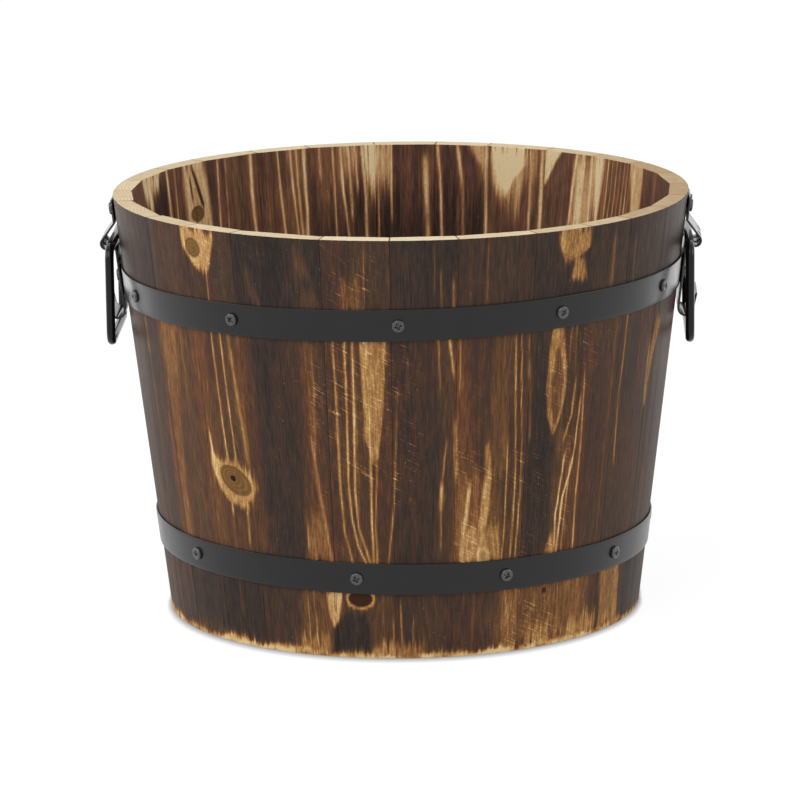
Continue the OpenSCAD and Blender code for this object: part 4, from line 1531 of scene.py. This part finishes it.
@dataclass
class Hoop:
    """Steel strip bent round the barrel once, its end lapped over its start at the back."""

    name: str
    shape: BarrelShape
    material: Material
    middle_z: float
    width: float
    tilt: float
    thickness: float = 1.2 * MM
    edge: float = 0.4 * MM
    lap_at: float = 91.0
    lap_angle: float = 15.0
    ramp_angle: float = 2.5
    step: float = 1.0
    wall_gap: float = 0.05 * MM
    lap_gap: float = 0.02 * MM
    wave: float = 0.16 * MM

    def height_at(self, direction: np.ndarray) -> np.ndarray:
        """Height of the strip's middle line along directions in radians."""
        to_side = self.shape.outer(self.middle_z) * np.cos(direction)
        return self.middle_z + to_side * math.tan(math.radians(self.tilt))

    def layers(self, direction: float) -> int:
        """Number of strip layers at a direction in degrees."""
        return 2 if abs(turned(direction, self.lap_at)) < self.lap_angle / 2 else 1

    def _profile(self) -> np.ndarray:
        """Section of the strip: (out, up) points round a rectangle with round corners.

        Returns:
            The points, from the outer foot counter-clockwise seen along the hoop's direction.
        """
        x, y = self.thickness / 2 - self.edge, self.width / 2 - self.edge
        corners = ((1, -1, -90), (1, 1, 0), (-1, 1, 90), (-1, -1, 180))
        foot, top, back, heel = (arc((side * x, end * y), self.edge, start, start + 90, 3)
                                 for side, end, start in corners)
        flat = np.linspace(-y, y, 9)[1:-1]
        face, rear = (np.stack([np.full_like(flat, side * self.thickness / 2), side * flat], axis=1)
                      for side in (1, -1))
        return np.concatenate([foot, face, top, back, rear, heel])

    def build(self) -> None:
        """Carry the section once round the barrel and through the lap.

        A section stands at radius = wall + half a thickness + a rise to the second layer before the
        lap, and waves a little in and out. It leans with the wall, and a strip closes its two ends.
        """
        start = self.lap_at - self.lap_angle / 2
        turn = np.arange(0, 360 + self.lap_angle + self.step / 2, self.step)
        direction = np.radians(start + turn)[:, None]
        lift = smoothstep(360 - self.ramp_angle, 360, turn) * (self.thickness + self.lap_gap)
        profile = self._profile()
        taper = self.shape.taper
        out, up = profile[:, 0][None, :], profile[:, 1][None, :]
        z0 = self.height_at(direction)
        normal = self.thickness / 2 + self.wall_gap + lift[:, None] + out
        z = z0 + up * math.cos(taper) - normal * math.sin(taper)
        seed = Seed.HOOP_WAVES + int(self.width / MM)
        waves = (noise(turn / 9, turn * 0, seed)[:, None] - 0.5) * self.wave
        radius = self.shape.outer(z0) + up * math.sin(taper) + normal * math.cos(taper) + waves
        points = np.stack([radius * np.cos(direction), radius * np.sin(direction), z], axis=2)
        quads = closed_tube(len(turn), len(profile))
        made = quad_object(f"planter_{self.name}", points.reshape(-1, 3), quads, [self.material])
        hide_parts(self.name)
        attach(made, "barrel")
        LOG.info("%s: %d sections", made.name, len(turn))


@dataclass
class ScrewSet:
    """Pan-head screws with a cross recess, all in one object, each in its own frame."""

    material: Material
    head_radius: float = 4.4 * MM
    head_height: float = 2.4 * MM
    shank_radius: float = 1.75 * MM
    length: float = 13.0 * MM
    tip_length: float = 3.5 * MM
    tip_radius: float = 0.2 * MM
    recess_half: float = 2.7 * MM
    recess_width: float = 1.35 * MM
    recess_depth: float = 1.9 * MM
    around: int = 48
    # Shares of the head: radius of its middle, the dome's drop over the whole head, the rim's height
    dome_share: float = 0.80
    dome_drop: float = 0.16
    rim_share: float = 0.62

    def _section(self) -> tuple[np.ndarray, np.ndarray, int]:
        """Radius and height along the screw, from the middle of its head to its tip.

        The head is a low dome, height = head height times (1 - drop times the square of the radius'
        share), with a quarter of an ellipse as its rim, and then the seat, the shank and the tip.

        Returns:
            The radii, the heights and how many of them are on the dome.
        """
        inner = np.linspace(0.04, self.dome_share, 13) * self.head_radius
        dome = self.head_height * (1 - self.dome_drop * (inner / self.head_radius) ** 2)
        angle = np.radians(np.linspace(0, 90, 6))[1:]
        rim_r = self.head_radius * self.dome_share + np.sin(angle) * self.head_radius * (1 - self.dome_share)
        rim_z = dome[-1] - (1 - np.cos(angle)) * dome[-1] * self.rim_share
        tail = [(self.head_radius * 0.995, 0.25 * MM), (self.head_radius * 0.97, 0.02 * MM),
                (self.shank_radius * 1.15, 0.01 * MM), (self.shank_radius, -0.3 * MM),
                (self.shank_radius, self.tip_length - self.length), (self.tip_radius, -self.length)]
        tail_r, tail_z = np.array(tail).T
        return np.concatenate([inner, rim_r, tail_r]), np.concatenate([dome, rim_z, tail_z]), len(inner)

    def _one(self) -> tuple[np.ndarray, np.ndarray]:
        """Screw with its seat at z = 0, its section turned round the Z axis.

        The cross recess sinks where a point lies within half a slot's width of either axis, and grows
        shallow towards the slots' ends.

        Returns:
            Points and quads.
        """
        r, z, on_dome = self._section()
        angle = np.linspace(0, TAU, self.around, endpoint=False)
        x, y = r[:, None] * np.cos(angle), r[:, None] * np.sin(angle)
        height = np.repeat(z[:, None], self.around, axis=1)
        narrow = np.minimum(np.abs(x), np.abs(y)) / (self.recess_width / 2)
        reach = np.maximum(np.abs(x), np.abs(y)) / self.recess_half
        sink = (1 - smoothstep(0.75, 1.25, narrow)) * (1 - smoothstep(0.55, 1.0, reach))
        height[:on_dome] -= (self.recess_depth * sink)[:on_dome]
        return np.stack([x, y, height], axis=2).reshape(-1, 3), closed_tube(len(r), self.around)

    def build(self, name: str, frames: list[Matrix]) -> None:
        """Set a copy of the screw in each frame.

        Args:
            name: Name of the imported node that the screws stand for.
            frames: A matrix for each screw, with Z out of its seat.
        """
        points, quads = self._one()
        flat = np.concatenate([points, np.ones((len(points), 1))], axis=1)
        placed = np.concatenate([(flat @ np.array(f).T)[:, :3] for f in frames])
        faces = np.concatenate([quads + n * len(points) for n in range(len(frames))])
        made = quad_object(f"planter_{name}", placed, faces, [self.material])
        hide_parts(name)
        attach(made, "barrel")
        LOG.info("%s: %d screws", made.name, len(frames))


# ---------- Handles ----------


class Side(Enum):
    """Side of the barrel, by the turn about Z that brings the right handle there."""

    RIGHT = 0.0
    LEFT = math.pi


@dataclass
class Handle:
    """Drop handle: a strap bracket on the wall, whose knuckle holds a ring of round bar."""

    side: Side
    shape: BarrelShape
    finishes: Finishes
    hoop_thickness: float = 1.2 * MM
    strap_width: float = 42 * MM
    strap_thickness: float = 1.5 * MM
    strap_top: float = 4 * MM
    slope_top: float = 20 * MM
    knuckle_out: float = 8 * MM
    knuckle_drop: float = 33.6 * MM
    knuckle_radius: float = 3.85 * MM
    bend_radius: float = 2.2 * MM
    lip_bottom: float = 86.5 * MM
    lip_radius: float = 5 * MM
    lip_end: float = 12 * MM
    lip_lean: float = 6.0
    corner_radius: float = 5 * MM
    slot_width: float = 5 * MM
    slot_offset: float = 9 * MM
    slot_rise: float = 5.2 * MM
    screw_offset: float = 10 * MM
    upper_screw_drop: float = 11 * MM
    lower_screw_drop: float = 58 * MM
    recess_turn: float = 31.0
    slot_start: float = 5 * MM
    edge_bevel: float = 0.3 * MM
    bevelled_from: float = 50.0
    bar_diameter: float = 6.2 * MM
    bar_gap: float = 0.4 * MM
    pivot_drop: float = 33 * MM
    ring_width: float = 98 * MM
    ring_height: float = 65.2 * MM
    ring_corner: float = 9 * MM
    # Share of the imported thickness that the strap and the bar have, so that they stay inside it
    strap_share: float = 0.997
    bar_share: float = 0.999

    @property
    def word(self) -> str:
        """The side as it stands in the nodes' names."""
        return self.side.name.lower()

    @property
    def lower_out(self) -> float:
        """Distance from the wall to the middle of the strap's lower part, which lies on the hoop."""
        return self.hoop_thickness * math.cos(self.shape.taper) + self.strap_thickness / 2

    def frame(self) -> Matrix:
        """Frame of the handle: X out from the wall, Z up along it, starting at the rim's edge."""
        place = Matrix.Translation((self.shape.rim_radius, 0, self.shape.height))
        return Matrix.Rotation(self.side.value, 4, "Z") @ place @ Matrix.Rotation(self.shape.taper, 4, "Y")

    def _strap_course(self) -> np.ndarray:
        """Middle line of the strap as (out, drop) points.

        Down the wall, out along a slope that touches the knuckle's round end, round it, back to the
        wall by a small bend, down over the hoop, and up again round the lip.

        Returns:
            The points in metres, from the upper end.
        """
        plate = self.strap_thickness / 2
        run = (self.knuckle_out - plate, self.knuckle_drop - self.slope_top)
        aim = math.degrees(math.atan2(run[1], run[0]))
        touch = aim - math.degrees(math.asin(self.knuckle_radius / math.hypot(*run))) - 90
        bend_drop = self.knuckle_drop + self.knuckle_radius + self.bend_radius
        lip = (self.lower_out + self.lip_radius, self.lip_bottom - self.lip_radius)
        lean = math.radians(self.lip_lean)
        flat = np.linspace(bend_drop + 2 * MM, lip[1] - 2 * MM, 14)
        legs = [
            np.stack([np.full(9, plate), np.linspace(self.strap_top, self.slope_top, 9)], axis=1),
            arc((self.knuckle_out, self.knuckle_drop), self.knuckle_radius, touch, 90, 22),
            arc((self.lower_out + self.bend_radius, bend_drop), self.bend_radius, 270, 180, 8),
            np.stack([np.full_like(flat, self.lower_out), flat], axis=1),
            arc(lip, self.lip_radius, 180, self.lip_lean, 20),
        ]
        slope = np.linspace(0, 1, 7)[1:-1, None]
        legs.insert(1, legs[0][-1] + (legs[1][0] - legs[0][-1]) * slope)
        lip_run = self.lip_end * np.array([math.sin(lean), -math.cos(lean)])
        legs.append(legs[-1][-1] + lip_run * np.linspace(0, 1, 6)[1:, None])
        return np.concatenate(legs)

    def _strap_sheet(self, course: np.ndarray, run: np.ndarray) -> tuple[np.ndarray, np.ndarray]:
        """Sheet over (place across, place along the strap), in the handle's frame.

        The sheet's upper corners are drawn in along a quarter circle, and the faces in the knuckle's
        two slots are left out.

        Args:
            course: The strap's middle line as (out, drop) points.
            run: Length of the line up to each point.

        Returns:
            Points with a fourth coordinate of 1, and quads.
        """
        half = self.strap_width / 2
        slot_in, slot_out = (self.slot_offset + side * self.slot_width / 2 for side in (-1, 1))
        marks = [0, slot_in / 2, slot_in, self.slot_offset, slot_out, (slot_out + half) / 2,
                 half - 1.5 * MM, half]
        across = np.array([-m for m in marks[:0:-1]] + marks)
        rounding = np.clip(self.corner_radius - run, 0, self.corner_radius)
        narrowed = half - self.corner_radius + np.sqrt(self.corner_radius ** 2 - rounding ** 2)
        outer_share = np.clip((np.abs(across) - slot_out) / (half - slot_out), 0, 1)
        y = across[None, :] - np.sign(across)[None, :] * outer_share[None, :] * (half - narrowed)[:, None]
        x, z = (np.repeat(line[:, None], len(across), axis=1) for line in (course[:, 0], -course[:, 1]))
        out, drop = ((course[:-1] + course[1:]) / 2).T
        low = self.knuckle_drop + self.knuckle_radius + self.strap_thickness
        at_knuckle = (drop > self.knuckle_drop - self.slot_rise) & (drop < low) & (out > self.slot_start)
        centre = np.abs((across[:-1] + across[1:]) / 2)
        cut = (at_knuckle[:, None] & ((centre > slot_in) & (centre < slot_out))[None, :]).ravel()
        quads = grid_quads(np.arange(x.size).reshape(x.shape))[~cut]
        used, quads = np.unique(quads, return_inverse=True)
        points = np.stack([x.ravel(), y.ravel(), z.ravel(), np.ones(x.size)], axis=1)[used]
        return points, quads.reshape(-1, 4)

    def build_bracket(self) -> None:
        """Make the bracket: its sheet, thickened and bevelled."""
        course = self._strap_course()
        run = np.concatenate([[0], np.cumsum(np.linalg.norm(np.diff(course, axis=0), axis=1))])
        local, quads = self._strap_sheet(course, run)
        points = (local @ np.array(self.frame()).T)[:, :3]
        made = quad_object(f"planter_{self.word}_bracket", points, quads, [self.finishes.bracket])
        solid = made.modifiers.new("strap thickness", "SOLIDIFY")
        solid.thickness = self.strap_thickness * self.strap_share
        solid.offset = 0
        solid.use_even_offset = True
        add_bevel(made, "sheared edges", self.edge_bevel, self.bevelled_from)
        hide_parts(f"{self.word}_bracket")
        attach(made, "barrel")
        LOG.info("%s: strap %.0f mm long", made.name, run[-1] / MM)

    def screw_frames(self) -> list[Matrix]:
        """Frames of the bracket's four screws.

        Returns:
            One matrix for each screw, the upper two first.
        """
        seats = ((self.strap_thickness, self.upper_screw_drop),
                 (self.lower_out + self.strap_thickness / 2, self.lower_screw_drop))
        face = Matrix.Rotation(math.pi / 2, 4, "Y") @ Matrix.Rotation(math.radians(self.recess_turn), 4, "Z")
        return [self.frame() @ Matrix.Translation((out, offset, -drop)) @ face
                for out, drop in seats for offset in (-self.screw_offset, self.screw_offset)]

    def build_ring(self) -> None:
        """Carry a circle round a rectangle with round corners, hanging straight down from the pivot.

        At each point of the path, the circle stands across it: its points lie at (out, y, z) = bar
        radius times (sin, cos times the heading's cos, cos times its sin).
        """
        taper = self.shape.taper
        out = self.bar_diameter / 2 + self.bar_gap
        pivot_x = self.shape.rim_radius + out * math.cos(taper) - self.pivot_drop * math.sin(taper)
        pivot_z = self.shape.height - out * math.sin(taper) - self.pivot_drop * math.cos(taper)
        r = self.ring_corner
        right, low = self.ring_width / 2 - r, r - self.ring_height
        corners = (((right, -r), 0), ((-right, -r), 90), ((-right, low), 180), ((right, low), 270))
        centre = np.concatenate([arc(middle, r, start, start + 90, 14) for middle, start in corners])
        heading = np.concatenate([np.radians(np.linspace(start, start + 90, 15)) for _, start in corners])
        around = np.linspace(0, TAU, 24, endpoint=False)[None, :]
        bar = self.bar_diameter / 2 * self.bar_share
        y = centre[:, :1] + bar * np.cos(around) * np.cos(heading)[:, None]
        z = centre[:, 1:] + bar * np.cos(around) * np.sin(heading)[:, None]
        x = np.repeat(bar * np.sin(around), len(centre), axis=0)
        sign = 1 if self.side is Side.RIGHT else -1
        points = np.stack([sign * (x + pivot_x), sign * y, z + pivot_z], axis=2).reshape(-1, 3)
        quads = sweep_quads(len(centre), around.size, closed=True)
        made = quad_object(f"planter_{self.word}_ring", points, quads, [self.finishes.ring])
        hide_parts(f"{self.word}_ring")
        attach(made, f"{self.word}_handle")
        LOG.info("%s: bar %.1f mm", made.name, self.bar_diameter / MM)


# ---------- Studio ----------


@dataclass(frozen=True)
class Studio:
    """Camera, lamps, white surroundings and a pale floor."""

    turn: float = 1.8
    elevation: float = 12.293
    distance: float = 3.470
    aim_height: float = 0.146
    roll: float = 0.638
    focal_px: float = 4949.9
    picture_px: float = 800.0
    aim_px: tuple[float, float] = (402.99, 395.0)
    sensor: float = 36.0
    surround: float = 0.62
    floor_half: float = 6.0
    contact_front: float = 0.065
    contact_side: float = 0.0028

    # Name, place, side and power of each lamp, in metres and watts
    SOFTBOXES = (("key softbox", (-0.9, -1.6, 2.3), 1.6, 26.0),
                 ("right softbox", (2.2, -0.4, 1.2), 1.1, 12.0),
                 ("left softbox", (-2.2, -0.2, 1.2), 1.1, 12.0))
    STRIPS = (("low strip", (-0.56, 0.50, 0.10), 0.42, 0.6), ("low strip", (0.56, 0.50, 0.10), 0.42, 0.6))

    def build(self) -> None:
        """Make the camera, the world, the lamps and the floor."""
        self._camera()
        self._world()
        for lamp in self.SOFTBOXES:
            self._lamp(*lamp)
        for lamp in self.STRIPS:
            self._lamp(*lamp).visible_diffuse = False
        self._floor()

    def _camera(self) -> None:
        """Set the camera at the photograph's viewing angle."""
        tilt, turn = math.radians(self.elevation), math.radians(self.turn)
        out = Vector((math.sin(turn) * math.cos(tilt), -math.cos(turn) * math.cos(tilt), math.sin(tilt)))
        data = bpy.data.cameras.new("camera")
        data.sensor_width = self.sensor
        data.lens = self.focal_px * self.sensor / self.picture_px
        half = self.picture_px / 2
        data.shift_x = (half - self.aim_px[0]) / self.picture_px
        data.shift_y = (self.aim_px[1] - half) / self.picture_px
        data.dof.use_dof = False
        camera = new_object("camera", data)
        place = Matrix.Translation(Vector((0, 0, self.aim_height)) + out * self.distance)
        aim = (-out).to_track_quat("-Z", "Y").to_matrix().to_4x4()
        camera.matrix_world = place @ aim @ Matrix.Rotation(-math.radians(self.roll), 4, "Z")
        bpy.context.scene.camera = camera

    def _lamp(self, name: str, place: tuple[float, float, float], size: float,
              power: float) -> bpy.types.Object:
        """Hang a square lamp that faces the barrel's middle.

        Args:
            name, place: Lamp's name, and where it hangs.
            size, power: Length of its side, and its power in watts.

        Returns:
            The lamp.
        """
        data = bpy.data.lights.new(name, "AREA")
        data.size = size
        data.energy = power
        lamp = new_object(name, data)
        toward = Vector((0, 0, self.aim_height)) - Vector(place)
        lamp.matrix_world = Matrix.Translation(place) @ toward.to_track_quat("-Z", "Y").to_matrix().to_4x4()
        return lamp

    def _world(self) -> None:
        """White for what the camera and the reflections see, softer for what lights the object."""
        world = bpy.data.worlds.new("white surroundings")
        bpy.context.scene.world = world
        world.use_nodes = True
        g = Graph(world.node_tree)
        soft, white = (g.node("Background", {"Color": (1, 1, 1, 1), "Strength": strength}).outputs[0]
                       for strength in (self.surround, 1.0))
        both = g.node("MixShader", {0: g.seen(), 1: soft, 2: white})
        g.feed(g.node("OutputWorld").inputs[0], both.outputs[0])

    def _floor(self) -> None:
        """Lay a pale floor that shows white in the open and keeps the object's shadow.

        The contact shadow reaches far in front of the object and behind it, and hardly beside it.
        """
        points = np.array([(-1, -1, 0), (1, -1, 0), (1, 1, 0), (-1, 1, 0)]) * self.floor_half
        material, g = new_material("pale floor")
        matte, plain = (g.node("BsdfDiffuse", {"Color": (shade, shade, shade, 1)}).outputs[0]
                        for shade in (0.16, 0.75))
        along = g.node("SeparateXYZ", {0: g.node("TexCoord").outputs["Object"]}).outputs["Y"]
        reach = g.add((g.math("ABSOLUTE", along), self.contact_front), (1.0, self.contact_side))
        nearby = g.node("AmbientOcclusion", {"Distance": reach}, samples=12).outputs["AO"]
        light = g.times(g.math("POWER", nearby, 1.6), 0.90)
        glow = g.node("Emission", {"Color": (1, 1, 1, 1), "Strength": light})
        shown = g.node("AddShader", {0: matte, 1: glow.outputs[0]})
        both = g.node("MixShader", {0: g.seen(), 1: plain, 2: shown.outputs[0]})
        g.feed(g.node("OutputMaterial").inputs[0], both.outputs[0])
        quad_object("studio_floor", points, np.array([[0, 1, 2, 3]]), [material])


# ---------- The planter ----------


@dataclass
class Planter:
    """The whole planter, built from its sub-assemblies."""

    top_hoop_z: float = 235 * MM
    top_hoop_width: float = 22 * MM
    top_hoop_tilt: float = 0.9
    bottom_hoop_z: float = 57 * MM
    bottom_hoop_width: float = 22 * MM
    bottom_hoop_tilt: float = -0.7
    top_screws: tuple[float, ...] = (-158, -124, -89, -55, -22, 14, 50, 86.5, 95.5, 130, 166)
    bottom_screws: tuple[float, ...] = (-143, -99, -65, -32, 6.5, 42, 86.5, 95.5, 133, 175)
    recess_turn: float = 17.0

    def hoop_screw_frames(self, hoop: Hoop, directions: tuple[float, ...]) -> list[Matrix]:
        """Frames of a hoop's screws, seated on the strip.

        Args:
            hoop: The hoop.
            directions: Directions of its screws in degrees.

        Returns:
            One matrix for each screw.
        """
        frames = []
        for direction in directions:
            angle = math.radians(direction)
            out = hoop.layers(direction) * hoop.thickness * math.cos(hoop.shape.taper)
            place = hoop.shape.wall_frame(angle, float(hoop.height_at(angle)), out)
            frames.append(place @ Matrix.Rotation(math.radians(self.recess_turn * direction), 4, "Z"))
        return frames

    def build(self) -> None:
        """Build every piece of the planter."""
        shape, finishes = BarrelShape.from_frame(), Finishes.build()
        lattice = Stave.shared_lattice()
        for number in range(len(STAVE_NAMES)):
            Stave(number, shape, finishes, lattice).build()
        Floor(finishes).build()
        screws = ScrewSet(finishes.screw)
        top = Hoop("top_hoop", shape, finishes.hoop, self.top_hoop_z, self.top_hoop_width, self.top_hoop_tilt)
        bottom = Hoop("bottom_hoop", shape, finishes.hoop, self.bottom_hoop_z, self.bottom_hoop_width,
                      self.bottom_hoop_tilt)
        for hoop, directions in ((top, self.top_screws), (bottom, self.bottom_screws)):
            hoop.build()
            screws.build(f"{hoop.name}_screws", self.hoop_screw_frames(hoop, directions))
        for side in Side:
            handle = Handle(side, shape, finishes)
            handle.build_bracket()
            screws.build(f"{handle.word}_bracket_screws", handle.screw_frames())
            handle.build_ring()


def main() -> None:
    """Build the studio and the planter."""
    logging.basicConfig(level=logging.INFO, format="%(name)s: %(message)s")
    bpy.context.scene.view_settings.view_transform = "Standard"
    Studio().build()
    Planter().build()


if __name__ == "__main__":
    main()
